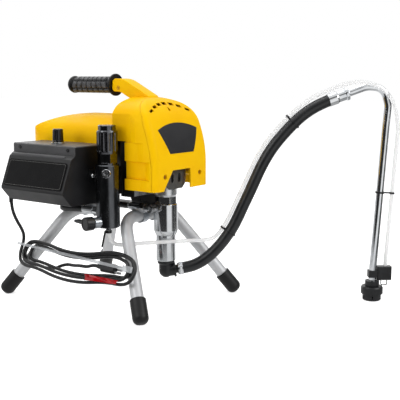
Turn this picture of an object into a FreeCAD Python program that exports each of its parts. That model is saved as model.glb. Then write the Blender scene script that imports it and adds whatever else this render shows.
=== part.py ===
import FreeCAD, Part
import math
import os

os.makedirs("parts", exist_ok=True)

# Airless paint sprayer on a four-legged tube stand, in millimetres.
# The machine is drawn about the middle of its four feet, on the floor: +Z up, the pump in
# front at -Y, the control box on the left at -X. ORIGIN is the point under the middle of the
# whole machine, which becomes the part's own origin when a piece is written.

ORIGIN = FreeCAD.Vector(57.0, -143.0, 0)

# Clearances
SNUG = 0.2
RUN = 0.08
FREE = 0.3

# Stand
LEG_R = 12.5
LEG_WALL = 2.0
FOOT_X = 151.0
FOOT_Y = 190.0
FOOT_Z = 12.0
RAIL_X = 69.8
RAIL_Y = 78.6
RAIL_Z = 180.0
LEG_BEND_R = 44.0
CAP_WALL = 3.0
CAP_LENGTH = 50.0
CAP_END = 11.0
PLATE_X = 34.0
PLATE_T = 4.0
STRAP_T = 3.0
STRAP_WIDTH = 14.0
STRAP_X = 20.0
EAR = 9.0

# Drive train
CRANK_Z = 286.0
MOTOR_Z = 316.0
COUNTER_X = 37.5
FAST_MODULE = 1.5
SLOW_MODULE = 2.0
MOTOR_TEETH = 10
COUNTER_TEETH = 40
PINION_TEETH = 12
OUTPUT_TEETH = 36
THROW = 8.0
PIN_R = 6.0
CRANK_SHAFT_R = 10.0
COUNTER_SHAFT_R = 5.0
ROTOR_SHAFT_R = 5.0
FAST_GEAR_Y = (-76.0, -66.0)
SLOW_GEAR_Y = (-92.0, -78.0)
BEARING_Y = (-105.0, -97.0)
DISC_Y = (-116.0, -108.0)
YOKE_Y = (-135.0, -121.0)
YOKE_X = 22.0
YOKE_Z = 13.0

# Castings and motor
GEARBOX_X = (-62.0, 72.0)
GEARBOX_Y = (-96.0, -62.0)
GEARBOX_Z = (222.0, 372.0)
GEARBOX_WALL = 4.0
WING_Y = (-44.0, -38.0)
LUG_Z = (228.0, 283.0)
HEAD_X = 45.0
HEAD_Y = -144.0
HEAD_Z = (221.0, 335.0)
HEAD_WALL = 7.0
MOTOR_R = 48.0
MOTOR_WALL = 3.0
MOTOR_Y = (-62.0, 128.0)
BELL_Y = 152.0
MAGNET_R = 38.0
CORE_R = 36.5
FAN_Y = (157.0, 170.0)
FAN_R = 34.0

# Pump, on its own upright axis
PUMP_Y = -127.0
PUMP_R = 24.5
PUMP_BORE_R = 13.0
PUMP_Z = (142.7, 206.7)
NECK_R = 15.0
NECK_TOP = 236.0
ROD_R = 7.0
BODY_R = 19.7
BODY_Z = 88.5
SUCTION_Z = 67.0
ARM_TILT = 8.0
ELBOW_R = 14.5
OUTLET_Z = 201.5
BALL_R = 9.5
SEAT_Z = 98.0

# Suction set, drawn in the upright plane through the pump that the hose leaves in
SUCTION_AZ = -50.0
SUCTION_R = 12.0
SUCTION_BORE = 9.0
DROP_R = 7.6
DROP_BORE = 6.4
SLEEVE_R = 11.6
STRAINER_S = 428.0
STRAINER_R = 19.0

# Housing
WALL = 3.0
SEAM = 0.4
COVER_X = 85.0
HOOD_Z = (240.0, 420.0)
SHOULDER_R = 45.0
CROWN_R = 150.0
FRONT_Y = -172.0
FACE_Z = 285.0
BROW_Y = -153.5
BROW_Z = 372.0
CREST = 1.5
NOSE_R = 14.0
COLLAR_X = 82.0
COLLAR_Y = (-92.0, -58.0)
COLLAR_Z = 335.0
SHROUD_X = 70.0
SHROUD_Z = (290.0, 384.0)
SHROUD_Y = (COLLAR_Y[1] + FREE, 208.0)
SHROUD_CORNER = 45.0

# Carrying handle
GRIP_R = 17.5
GRIP_Y = (9.0, 136.0)
GRIP_Z = 443.0
ARM_X = 15.0
SPIGOT_R = 8.0

# Manifold and its hose
MANIFOLD = FreeCAD.Vector(-108, -70, 0)
MANIFOLD_R = 23.0
MANIFOLD_Z = (167.0, 291.0)
CHAMBER_R = 16.0
PRIME_AZ = 165.0
PRIME_Z = 178.0
PORT_Z = 196.0
SPRAY_AZ = 28.0
SPRAY_Z = 174.0
HOSE_R = 6.5
CLEAR_TUBE_R = 4.0

# Control box
BOX_Y = (-30.0, 150.0)
BOX_WALL = 3.0
KNOB = (-120.0, 55.0)
KNOB_R = 11.0
SWITCH = (-112.0, 266.0)

# Mains cord
CORD_R = 3.4
HANK_Z = 86.0
HANK_STEP = 7.5
HANK_LAYER = 7.4
HANK_OFFSET = 16.3
HANK_R = 31.0
HANK_Y = (-132.0, 129.0)
HANK_SAG = 10.0


def vec(x, y, z):
    return FreeCAD.Vector(x, y, z)


X, Y, Z = vec(1, 0, 0), vec(0, 1, 0), vec(0, 0, 1)


# Basic solids

def block(x, y, z):
    """A box from three (low, high) pairs."""
    return Part.makeBox(x[1] - x[0], y[1] - y[0], z[1] - z[0], vec(x[0], y[0], z[0]))


def rod(radius, start, end):
    return Part.makeCylinder(radius, (end - start).Length, start, end - start)


def pipe(outer, inner, start, end):
    return rod(outer, start, end).cut(rod(inner, start, end))


def placed(shape, base, direction):
    """Moves a shape drawn up the Z axis onto a base point and a direction."""
    turned_shape = shape.copy()
    turned_shape.Placement = FreeCAD.Placement(base, FreeCAD.Rotation(Z, direction))
    return turned_shape


def turned(profile, base, direction):
    """Revolves a closed (radius, height) outline about the axis through base."""
    corners = [vec(r, 0, h) for r, h in profile]
    outline = Part.Face(Part.makePolygon(corners + corners[:1]))
    return placed(outline.revolve(vec(0, 0, 0), Z, 360), base, direction)


def prism(outline, axis, low, high):
    """Extrudes a polygon, given in the two other axes in X, Y, Z order, along axis."""
    def corner(a, b):
        if axis == "x":
            return vec(low, a, b)
        if axis == "y":
            return vec(a, low, b)
        return vec(a, b, low)
    corners = [corner(a, b) for a, b in outline]
    face = Part.Face(Part.makePolygon(corners + corners[:1]))
    return face.extrude({"x": X, "y": Y, "z": Z}[axis] * (high - low))


def hexagon(across, start, end):
    """A hexagonal bar, given across its flats."""
    radius = across / math.sqrt(3)
    corners = [vec(radius * math.cos(a * math.pi / 3), radius * math.sin(a * math.pi / 3), 0)
               for a in range(6)]
    bar = Part.Face(Part.makePolygon(corners + corners[:1])).extrude(Z * (end - start).Length)
    return placed(bar, start, end - start)


def joined(*solids):
    return solids[0].multiFuse(list(solids[1:])).removeSplitter()


def grouped(*solids):
    return Part.makeCompound(list(solids))


def mirrored(shape):
    return shape.mirror(vec(0, 0, 0), X)


def rounded(shape, radius, chosen):
    """Fillets the edges whose middle passes the test."""
    edges = [e for e in shape.Edges if chosen(e.CenterOfMass, e)]
    return shape.makeFillet(radius, edges)


def upright(edge):
    ends = edge.Vertexes
    if len(ends) < 2:
        return False
    return abs(ends[0].X - ends[1].X) + abs(ends[0].Y - ends[1].Y) < 1e-6


# Bent tubes and cords

def corner_radii(points):
    """The largest tangent arc at each point that its two runs allow."""
    radii = []
    for before, here, after in zip(points, points[1:], points[2:]):
        half_turn = (here - before).getAngle(after - here) / 2
        shorter = min((here - before).Length, (after - here).Length)
        radii.append(0.45 * shorter / math.tan(half_turn))
    return radii


def route(points, radii):
    """A wire of straight runs joined by tangent arcs."""
    edges = []
    at = points[0]
    for before, here, after, radius in zip(points, points[1:], points[2:], radii):
        back = (before - here).normalize()
        on = (after - here).normalize()
        half_turn = (math.pi - back.getAngle(on)) / 2
        start = here + back * radius * math.tan(half_turn)
        end = here + on * radius * math.tan(half_turn)
        middle = here + (back + on).normalize() * (radius / math.cos(half_turn) - radius)
        edges.append(Part.LineSegment(at, start).toShape())
        edges.append(Part.Arc(start, middle, end).toShape())
        at = end
    edges.append(Part.LineSegment(at, points[-1]).toShape())
    return Part.Wire(edges)


def swept(wire, radius):
    """A round solid along a wire."""
    first = wire.OrderedEdges[0]
    start = first.valueAt(first.FirstParameter)
    heading = first.tangentAt(first.FirstParameter)
    ring = Part.Wire(Part.makeCircle(radius, start, heading))
    return wire.makePipeShell([ring], True, False)


def cord(name, points, radius):
    """A cord along hand-chosen points, with its radii and its volume printed."""
    radii = corner_radii(points)
    wire = route(points, radii)
    solid = swept(wire, radius)
    ideal = math.pi * radius ** 2 * wire.Length
    print(name, "length", round(wire.Length, 1), "volume ratio", round(solid.Volume / ideal, 4),
          "radii", [round(r) for r in radii])
    return solid


# Gears

def gear(teeth, module, width, first_tooth):
    """A spur gear lying on z 0, one tooth at the angle first_tooth in radians."""
    pitch = teeth * module / 2
    pitch_angle = 2 * math.pi / teeth
    corners = []
    for n in range(teeth):
        middle = first_tooth + n * pitch_angle
        for radius, share in ((pitch - 1.2 * module, -0.30), (pitch, -0.205),
                              (pitch + 0.85 * module, -0.09), (pitch + 0.85 * module, 0.09),
                              (pitch, 0.205), (pitch - 1.2 * module, 0.30)):
            angle = middle + share * pitch_angle
            corners.append(vec(radius * math.cos(angle), radius * math.sin(angle), 0))
    face = Part.Face(Part.makePolygon(corners + corners[:1]))
    return face.extrude(Z * width)


def along_y(shape, x, y, z):
    """Stands a shape drawn up the Z axis on its side: its Z runs to -Y, its Y to +Z."""
    laid = shape.copy()
    laid.Placement = FreeCAD.Placement(vec(x, y, z), FreeCAD.Rotation(X, 90))
    return laid


# Stand

def leg_points(side):
    """One inverted U of the stand, side -1 in front and 1 at the rear."""
    return [vec(-FOOT_X, side * FOOT_Y, FOOT_Z), vec(-RAIL_X, side * RAIL_Y, RAIL_Z),
            vec(RAIL_X, side * RAIL_Y, RAIL_Z), vec(FOOT_X, side * FOOT_Y, FOOT_Z)]


def leg_tube(side):
    wire = route(leg_points(side), [LEG_BEND_R, LEG_BEND_R])
    return swept(wire, LEG_R).cut(swept(wire, LEG_R - LEG_WALL))


def rubber_foot(x_side, y_side):
    """A rubber cap on one leg, rounded at its end and worn flat on the floor."""
    foot = vec(x_side * FOOT_X, y_side * FOOT_Y, FOOT_Z)
    up = vec(x_side * RAIL_X, y_side * RAIL_Y, RAIL_Z) - foot
    up.normalize()
    radius = LEG_R + SNUG + CAP_WALL
    cap = rod(radius, foot - up * CAP_END, foot + up * (CAP_LENGTH - CAP_END))
    cap = rounded(cap, 8.0, lambda c, e: c.z < FOOT_Z)
    cap = cap.cut(rod(LEG_R + SNUG, foot - up * SNUG, foot + up * CAP_LENGTH))
    floor = block((-2 * FOOT_X, 2 * FOOT_X), (-2 * FOOT_Y, 2 * FOOT_Y), (-CAP_LENGTH, 0))
    return cap.cut(floor)


PLATE_Z = RAIL_Z + LEG_R + SNUG
PLATE_TOP = PLATE_Z + PLATE_T


def chassis_plate():
    """The plate on both rails, with the upright bracket that steadies the motor."""
    reach = RAIL_Y + LEG_R + SNUG + STRAP_T + EAR
    plate = block((-PLATE_X, PLATE_X), (-reach, reach), (PLATE_Z, PLATE_TOP))
    plate = rounded(plate, 8.0, lambda c, e: upright(e))
    window = block((-14, 14), (-38, 50), (PLATE_Z - 1, PLATE_TOP + 1))
    window = rounded(window, 6.0, lambda c, e: upright(e))
    notch = rod(PUMP_R + 3, vec(0, PUMP_Y, PLATE_Z - 1), vec(0, PUMP_Y, PLATE_TOP + 1))
    plate = plate.cut(window).cut(notch)
    bracket = prism([(-26, PLATE_TOP - 1), (26, PLATE_TOP - 1), (42, 286), (-42, 286)],
                    "y", 66, 70)
    bracket = bracket.cut(rod(MOTOR_R + SNUG, vec(0, 60, MOTOR_Z), vec(0, 80, MOTOR_Z)))
    return joined(plate, bracket)


def rail_clamp(x, side):
    """A strap under the rail and its two bolts through the plate."""
    y = side * RAIL_Y
    half = STRAP_WIDTH / 2
    outer = LEG_R + SNUG + STRAP_T
    ring = pipe(outer, LEG_R + SNUG, vec(x - half, y, RAIL_Z), vec(x + half, y, RAIL_Z))
    walls = block((x - half, x + half), (y - outer, y + outer), (RAIL_Z, PLATE_Z - SNUG))
    walls = walls.cut(block((x - half, x + half), (y - outer + STRAP_T, y + outer - STRAP_T),
                            (RAIL_Z, PLATE_Z)))
    lower = ring.cut(block((x - half, x + half), (y - outer, y + outer), (RAIL_Z, RAIL_Z + outer)))
    ears = block((x - half, x + half), (y - outer - EAR, y + outer + EAR),
                 (PLATE_Z - SNUG - STRAP_T, PLATE_Z - SNUG))
    ears = ears.cut(block((x - half, x + half), (y - outer + 1, y + outer - 1),
                          (RAIL_Z, PLATE_Z)))
    strap = joined(lower, walls, ears)
    bolts = []
    for way in (-1, 1):
        at = vec(x, y + way * (outer + EAR / 2), 0)
        bottom = at + Z * (PLATE_Z - SNUG - STRAP_T)
        bolts.append(hexagon(8.0, bottom - Z * 4, bottom))
        bolts.append(hexagon(8.0, at + Z * PLATE_TOP, at + Z * (PLATE_TOP + 4)))
    return [strap] + bolts


def rail_clamps():
    pieces = []
    for x in (-STRAP_X, STRAP_X):
        for side in (-1, 1):
            pieces += rail_clamp(x, side)
    return grouped(*pieces)


# Gearbox, motor and crank

def gear_housing():
    """The black casting that holds the gears, the motor, the stand's plate and the manifold."""
    body = block(GEARBOX_X, GEARBOX_Y, GEARBOX_Z)
    body = rounded(body, 26.0, lambda c, e: c.z > GEARBOX_Z[1] - 1 and
                   (abs(c.x - GEARBOX_X[0]) < 1 or abs(c.x - GEARBOX_X[1]) < 1))
    foot = prism([(-28, PLATE_TOP + SNUG), (28, PLATE_TOP + SNUG), (40, GEARBOX_Z[0] + 1),
                  (-40, GEARBOX_Z[0] + 1)], "y", GEARBOX_Y[0] + 3.5, GEARBOX_Y[1] - 3)
    root = block((-76, GEARBOX_X[0] + 8), (-66, WING_Y[1]), LUG_Z)
    wing = block((-102, -58), WING_Y, LUG_Z)
    body = joined(body, foot, root, wing)
    front = GEARBOX_Y[0]
    rear = GEARBOX_Y[1] - GEARBOX_WALL
    slow_r = OUTPUT_TEETH * SLOW_MODULE / 2 + 5
    fast_r = COUNTER_TEETH * FAST_MODULE / 2 + 4
    cavity = joined(
        rod(slow_r, vec(0, front - 1, CRANK_Z), vec(0, rear, CRANK_Z)),
        rod(fast_r, vec(COUNTER_X, front - 1, MOTOR_Z), vec(COUNTER_X, rear, MOTOR_Z)),
        rod(14, vec(0, front - 1, MOTOR_Z), vec(0, rear, MOTOR_Z)))
    body = body.cut(cavity)
    shaft_hole = rod(11, vec(0, rear - 1, MOTOR_Z), vec(0, GEARBOX_Y[1] + 1, MOTOR_Z))
    pocket = rod(COUNTER_SHAFT_R + RUN, vec(COUNTER_X, rear - 1, MOTOR_Z),
                 vec(COUNTER_X, rear + 2.5, MOTOR_Z))
    return body.cut(shaft_hole).cut(pocket)


def bearing_housing():
    """The bright casting in front: lid of the gearbox, crank bearing, crosshead and pump seat."""
    rear = GEARBOX_Y[0] - SNUG
    lid = block((GEARBOX_X[0] + 2, GEARBOX_X[1] - 2), (BEARING_Y[1], rear),
                (GEARBOX_Z[0] + 2, GEARBOX_Z[1] - 8))
    lid = rounded(lid, 24.0, lambda c, e: c.z > GEARBOX_Z[1] - 9 and abs(c.x) > 50)
    body = block((-HEAD_X, HEAD_X), (HEAD_Y, rear), (HEAD_Z[0] + 22, HEAD_Z[1]))
    body = rounded(body, 14.0, lambda c, e: abs(c.y - (HEAD_Y + rear) / 2) < 1 and abs(c.x) > 40)
    seat = turned([(0, 0), (20.5, 0), (23, 4), (23, 24), (0, 24)], vec(0, PUMP_Y, HEAD_Z[0]), Z)
    body = joined(lid, body, seat)
    inside_x = HEAD_X - HEAD_WALL
    inside_z = (HEAD_Z[0] + 22 + HEAD_WALL, HEAD_Z[1] - HEAD_WALL)
    window = block((-inside_x, inside_x), (HEAD_Y - 1, BEARING_Y[0] - 1), inside_z)
    window = rounded(window, 8.0, lambda c, e: abs(c.x) > inside_x - 1 and
                     (abs(c.z - inside_z[0]) < 1 or abs(c.z - inside_z[1]) < 1))
    body = body.cut(window)
    body = body.cut(rod(BEARING_R + SNUG, vec(0, BEARING_Y[0] - 2, CRANK_Z),
                        vec(0, rear + 1, CRANK_Z)))
    counter = rod(COUNTER_SHAFT_R + RUN, vec(COUNTER_X, rear + 1, MOTOR_Z),
                  vec(COUNTER_X, rear - 5, MOTOR_Z))
    neck = rod(NECK_R + SNUG, vec(0, PUMP_Y, HEAD_Z[0] - 1), vec(0, PUMP_Y, inside_z[0] + 1))
    nut_room = rod(NECK_R + 2 + FREE, vec(0, PUMP_Y, NECK_TOP), vec(0, PUMP_Y, inside_z[0] + 1))
    return body.cut(counter).cut(neck).cut(nut_room)


BEARING_R = 17.0


def motor_can():
    can = turned([(12, 0), (MOTOR_R, 0), (MOTOR_R, MOTOR_Y[1] - MOTOR_Y[0]),
                  (MOTOR_R - MOTOR_WALL, MOTOR_Y[1] - MOTOR_Y[0]),
                  (MOTOR_R - MOTOR_WALL, MOTOR_WALL), (12, MOTOR_WALL)],
                 vec(0, MOTOR_Y[0] + SNUG, MOTOR_Z), Y)
    magnets = []
    shell = pipe(MOTOR_R - MOTOR_WALL - SNUG, MAGNET_R, vec(0, -30, MOTOR_Z), vec(0, 88, MOTOR_Z))
    for side in (-1, 1):
        keep = block((min(side * 22, side * 60), max(side * 22, side * 60)), (-40, 100),
                     (MOTOR_Z - 60, MOTOR_Z + 60))
        magnets.append(shell.common(keep))
    return grouped(can, *magnets)


def motor_end_bell():
    """The cap that closes the can and carries the rear bearing seat."""
    depth = BELL_Y - MOTOR_Y[1]
    start = MOTOR_Y[1] + 2 * SNUG
    return turned([(ROTOR_SHAFT_R + RUN, depth - 12), (14, depth - 12), (14, depth - 5),
                   (MOTOR_R - 9, depth - 5), (MOTOR_R - 4, 4), (MOTOR_R - 4, 0), (MOTOR_R, 0),
                   (MOTOR_R, 6), (MOTOR_R - 5, depth), (ROTOR_SHAFT_R + RUN, depth)],
                  vec(0, start, MOTOR_Z), Y)


def motor_rotor():
    """Shaft, laminated core, windings, commutator and the pinion cut on the shaft's end."""
    def y_at(value):
        return value - FAST_GEAR_Y[0]
    core = turned([(0, y_at(FAST_GEAR_Y[1] + 1)), (ROTOR_SHAFT_R, y_at(FAST_GEAR_Y[1] + 1)),
                   (ROTOR_SHAFT_R, y_at(-18)), (26, y_at(-18)), (30, y_at(-10)),
                   (30, y_at(-5)), (CORE_R, y_at(-5)), (CORE_R, y_at(65)),
                   (30, y_at(65)), (30, y_at(76)), (20, y_at(84)), (20, y_at(104)),
                   (ROTOR_SHAFT_R, y_at(104)),
                   (ROTOR_SHAFT_R, y_at(FAN_Y[1] + 4)), (0, y_at(FAN_Y[1] + 4))],
                  vec(0, FAST_GEAR_Y[0], MOTOR_Z), Y)
    pinion = gear(MOTOR_TEETH, FAST_MODULE, FAST_GEAR_Y[1] + 1.5 - FAST_GEAR_Y[0], 0)
    return joined(core, along_y(pinion, 0, FAST_GEAR_Y[1] + 1.5, MOTOR_Z))


def cooling_fan():
    hub_r = 14
    hub = pipe(hub_r, ROTOR_SHAFT_R + RUN, vec(0, FAN_Y[0], MOTOR_Z), vec(0, FAN_Y[1], MOTOR_Z))
    disc = pipe(FAN_R, hub_r - 1, vec(0, FAN_Y[0], MOTOR_Z), vec(0, FAN_Y[0] + 2, MOTOR_Z))
    blades = []
    for n in range(9):
        blade = block((hub_r - 1, FAN_R), (FAN_Y[0] + 1, FAN_Y[1]), (-1, 1))
        blade.rotate(vec(0, 0, 0), Y, n * 40)
        blade.translate(Z * MOTOR_Z)
        blades.append(blade)
    return joined(hub, disc, *blades)


def mesh_angle():
    """Direction from the counter shaft to the crank shaft, seen with Y to +Z."""
    return math.atan2(CRANK_Z - MOTOR_Z, -COUNTER_X)


def intermediate_gear():
    """Counter shaft with the large fast gear behind and the slow pinion in front."""
    fast = gear(COUNTER_TEETH, FAST_MODULE, FAST_GEAR_Y[1] - FAST_GEAR_Y[0],
                math.pi + math.pi / COUNTER_TEETH)
    slow = gear(PINION_TEETH, SLOW_MODULE, FAST_GEAR_Y[0] - SLOW_GEAR_Y[0] + 1, mesh_angle())
    shaft = rod(COUNTER_SHAFT_R, vec(COUNTER_X, GEARBOX_Y[0] - 4, MOTOR_Z),
                vec(COUNTER_X, GEARBOX_Y[1] - 2, MOTOR_Z))
    return joined(along_y(fast, COUNTER_X, FAST_GEAR_Y[1], MOTOR_Z),
                  along_y(slow, COUNTER_X, FAST_GEAR_Y[0] + 1, MOTOR_Z), shaft)


def output_crank():
    """Output gear, crank shaft, crank disc and the eccentric pin."""
    slow = gear(OUTPUT_TEETH, SLOW_MODULE, SLOW_GEAR_Y[1] - SLOW_GEAR_Y[0],
                mesh_angle() + math.pi + math.pi / OUTPUT_TEETH)
    shaft = rod(CRANK_SHAFT_R, vec(0, DISC_Y[1] - 1, CRANK_Z), vec(0, SLOW_GEAR_Y[1] + 1, CRANK_Z))
    disc = rod(THROW + PIN_R + 6, vec(0, DISC_Y[0], CRANK_Z), vec(0, DISC_Y[1], CRANK_Z))
    pin = rod(PIN_R, vec(THROW, YOKE_Y[0] + 1, CRANK_Z), vec(THROW, DISC_Y[1], CRANK_Z))
    return joined(along_y(slow, 0, SLOW_GEAR_Y[1], CRANK_Z), shaft, disc, pin)


def shaft_bearings():
    """The crank's roller bearing: outer and inner ring, and its rollers."""
    low, high = vec(0, BEARING_Y[0], CRANK_Z), vec(0, BEARING_Y[1], CRANK_Z)
    outer = pipe(BEARING_R, BEARING_R - 1.8, low, high)
    inner = pipe(CRANK_SHAFT_R + 1.6, CRANK_SHAFT_R + RUN, low, high)
    gap = BEARING_R - 1.8 - CRANK_SHAFT_R - 1.6
    middle = CRANK_SHAFT_R + 1.6 + gap / 2
    rollers = []
    for n in range(12):
        angle = n * math.pi / 6
        at = vec(middle * math.cos(angle), 0, middle * math.sin(angle))
        rollers.append(rod(gap / 2 - 0.1, low + at + Y, high + at - Y))
    return grouped(outer, inner, *rollers)


def yoke():
    """Crosshead block whose level slot takes the crank pin, with a socket for the rod."""
    body = block((-YOKE_X, YOKE_X), YOKE_Y, (CRANK_Z - YOKE_Z, CRANK_Z + YOKE_Z))
    body = rounded(body, 4.0, lambda c, e: abs(c.y - sum(YOKE_Y) / 2) < 1)
    half_height = PIN_R + 1.8
    slot = block((-THROW - PIN_R - 1, THROW + PIN_R + 1), (YOKE_Y[0] - 1, YOKE_Y[1] + 1),
                 (CRANK_Z - half_height, CRANK_Z + half_height))
    boss = rod(ROD_R + 3, vec(0, PUMP_Y, CRANK_Z - YOKE_Z - 9), vec(0, PUMP_Y, CRANK_Z - YOKE_Z + 2))
    body = joined(body.cut(slot), boss.common(block((-20, 20), YOKE_Y, (200, 300))))
    return body.cut(rod(ROD_R + SNUG, vec(0, PUMP_Y, 200),
                        vec(0, PUMP_Y, CRANK_Z - half_height - 2)))


def piston_rod():
    top = CRANK_Z - PIN_R - 1.8 - 2 - SNUG
    head = PUMP_BORE_R - RUN
    return turned([(0, 152), (head - 2, 152), (head, 154), (head, 158), (head - 1.5, 158.5),
                   (head - 1.5, 161.5), (head, 162), (head, 170), (ROD_R, 172), (ROD_R, top),
                   (0, top)], vec(0, PUMP_Y, 0), Z)


# Pump

def pump_cylinder():
    """Plated upper cylinder with its neck, and the jam nut that locks it in the housing."""
    low, high = PUMP_Z
    body = turned([(PUMP_BORE_R, low - 6), (BODY_R - 3.7, low - 6), (BODY_R - 3.7, low),
                   (BODY_R + 1.2, low), (PUMP_R, low + 9), (PUMP_R, high - 1.5),
                   (PUMP_R - 1.5, high), (NECK_R, high), (NECK_R, NECK_TOP), (11.5, NECK_TOP),
                   (11.5, 214), (ROD_R + RUN, 214), (ROD_R + RUN, high - 6),
                   (PUMP_BORE_R, high - 6)],
                  vec(0, PUMP_Y, 0), Z)
    nut = hexagon(37, vec(0, PUMP_Y, high + SNUG), vec(0, PUMP_Y, HEAD_Z[0] - SNUG))
    nut = nut.cut(rod(NECK_R + SNUG, vec(0, PUMP_Y, high), vec(0, PUMP_Y, HEAD_Z[0])))
    port = rod(4, vec(0, PUMP_Y, OUTLET_Z - 6), vec(-PUMP_R - 1, PUMP_Y, OUTLET_Z - 6))
    return grouped(body.cut(port), nut)


def packing_nut():
    """Slotted ring nut in the top of the neck, over the rod packings."""
    nut = turned([(ROD_R + RUN, NECK_TOP - 6), (11.5 - SNUG, NECK_TOP - 6),
                  (11.5 - SNUG, NECK_TOP + SNUG), (NECK_R + 2, NECK_TOP + SNUG),
                  (NECK_R + 2, NECK_TOP + 8), (ROD_R + 2, NECK_TOP + 8),
                  (ROD_R + RUN, NECK_TOP + 5)], vec(0, PUMP_Y, 0), Z)
    for angle in (0, 90):
        slot = block((-2, 2), (-30, 30), (NECK_TOP + 5, NECK_TOP + 9))
        slot = slot.cut(rod(ROD_R + 3, vec(0, 0, NECK_TOP), vec(0, 0, NECK_TOP + 10)))
        slot.rotate(vec(0, 0, 0), Z, angle)
        slot.translate(Y * PUMP_Y)
        nut = nut.cut(slot)
    packing = pipe(11.5 - SNUG, ROD_R + RUN, vec(0, PUMP_Y, 214 + SNUG),
                   vec(0, PUMP_Y, NECK_TOP - 6 - SNUG))
    return grouped(nut, packing)


def foot_valve():
    """Lower body of the pump, with the cage that holds the inlet ball."""
    low, high = BODY_Z, PUMP_Z[0] - SNUG
    inner = BODY_R - 3.7 + SNUG
    body = turned([(8, low), (BODY_R - 1.5, low), (BODY_R, low + 1.5), (BODY_R, high - 1),
                   (BODY_R - 1, high), (inner, high), (inner, high - 8), (PUMP_BORE_R, high - 8),
                   (PUMP_BORE_R, SEAT_Z - 8), (8, SEAT_Z - 8)], vec(0, PUMP_Y, 0), Z)
    towards_view = vec(-0.79, -0.61, 0)
    hole_z = BODY_Z + 37
    hole = rod(2.2, vec(0, PUMP_Y, hole_z) + towards_view * (BODY_R - 3.5),
               vec(0, PUMP_Y, hole_z) + towards_view * (BODY_R + 2))
    return body.cut(hole)


def inlet_seat():
    return turned([(7, SEAT_Z - 8 + SNUG), (PUMP_BORE_R - SNUG, SEAT_Z - 8 + SNUG),
                   (PUMP_BORE_R - SNUG, SEAT_Z), (8.4, SEAT_Z), (7, SEAT_Z - 1.4)],
                  vec(0, PUMP_Y, 0), Z)


def ball_z():
    """Height of the ball's centre when it lies on the edge of its seat."""
    return SEAT_Z - 0.4 + math.sqrt(BALL_R ** 2 - 8.0 ** 2) + FREE


def inlet_ball():
    return Part.makeSphere(BALL_R, vec(0, PUMP_Y, ball_z()))


def outlet_fitting():
    """Outlet elbow on the pump's left side: hex, body and the swivel nut of the hose."""
    at = vec(-PUMP_R - SNUG, PUMP_Y, OUTLET_Z)
    hexed = hexagon(20, at, at - X * 12)
    body = rod(8.5, at - X * 11, at - X * 27)
    corner = at - X * 20
    leg = rod(8.5, corner, corner + Y * 14)
    nut = hexagon(19, corner + Y * 13, corner + Y * 25)
    return joined(hexed, body, leg, nut)


# Suction set

def suction_point(s, z):
    """A point in the suction plane: s outwards from the pump's axis, z up."""
    angle = math.radians(SUCTION_AZ)
    return vec(s * math.cos(angle), PUMP_Y + s * math.sin(angle), z)


OUT = vec(math.cos(math.radians(SUCTION_AZ)), math.sin(math.radians(SUCTION_AZ)), 0)

# Route of the black suction hose, from the elbow to the chrome sleeve, as (s, z)
HOSE_ROUTE = [(23.8, 70.35), (45.55, 73.4), (66.5, 81), (86.5, 94.5), (104.5, 112), (121, 132),
              (139.5, 160), (156, 197), (174, 236), (193, 280), (214, 317), (242, 351),
              (275, 384), (312, 407), (344, 418.5)]

# Route of the chrome tube, from the sleeve over the bend and down to the strainer
DROP_ROUTE = [(344, 418.5), (372, 428.55), (405, 440.5), (440, 437), (449, 402), (446.1, 363.2),
              (STRAINER_S + 2, 88), (STRAINER_S, 62), (STRAINER_S, 41)]


def in_suction_plane(pairs):
    return [suction_point(s, z) for s, z in pairs]


ARM = OUT * math.cos(math.radians(ARM_TILT)) + Z * math.sin(math.radians(ARM_TILT))


def suction_elbow():
    """Black swivel elbow under the pump, with its barbed end."""
    corner = suction_point(0, SUCTION_Z)
    cup = turned([(0, SUCTION_Z), (ELBOW_R, SUCTION_Z), (ELBOW_R, 80), (BODY_R - 2, 84),
                  (BODY_R - 2, BODY_Z - SNUG), (0, BODY_Z - SNUG)], vec(0, PUMP_Y, 0), Z)
    ball = Part.makeSphere(ELBOW_R, corner)
    arm = rod(ELBOW_R - 1.5, corner, corner + ARM * 19)
    collar = rod(15.8, corner + ARM * 16, corner + ARM * 20)
    barb = rod(SUCTION_BORE - SNUG, corner, corner + ARM * 40)
    body = joined(cup, ball, arm, collar)
    bore = joined(rod(6.5, corner, vec(0, PUMP_Y, BODY_Z)), rod(6.5, corner, corner + ARM * 41),
                  Part.makeSphere(6.5, corner))
    return joined(body, barb).cut(bore)


def hose_clamp():
    """Worm-drive clamp over the hose's end."""
    start = suction_point(0, SUCTION_Z) + ARM * 26
    band = pipe(SUCTION_R + SNUG + 1, SUCTION_R + SNUG, start, start + ARM * 9)
    side = OUT.cross(Z)
    base = start + ARM * 4.5 + side * (SUCTION_R + 3.6)
    screw = rod(3.2, base - Z * 9, base + Z * 7)
    return joined(band, screw)


def suction_hose():
    points = in_suction_plane(HOSE_ROUTE)
    radii = corner_radii(points)
    wire = route(points, radii)
    outer = swept(wire, SUCTION_R)
    print("suction_hose length", round(wire.Length, 1), "volume ratio",
          round(outer.Volume / (math.pi * SUCTION_R ** 2 * wire.Length), 4),
          "radii", [round(r) for r in radii])
    return outer.cut(swept(wire, SUCTION_BORE))


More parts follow.
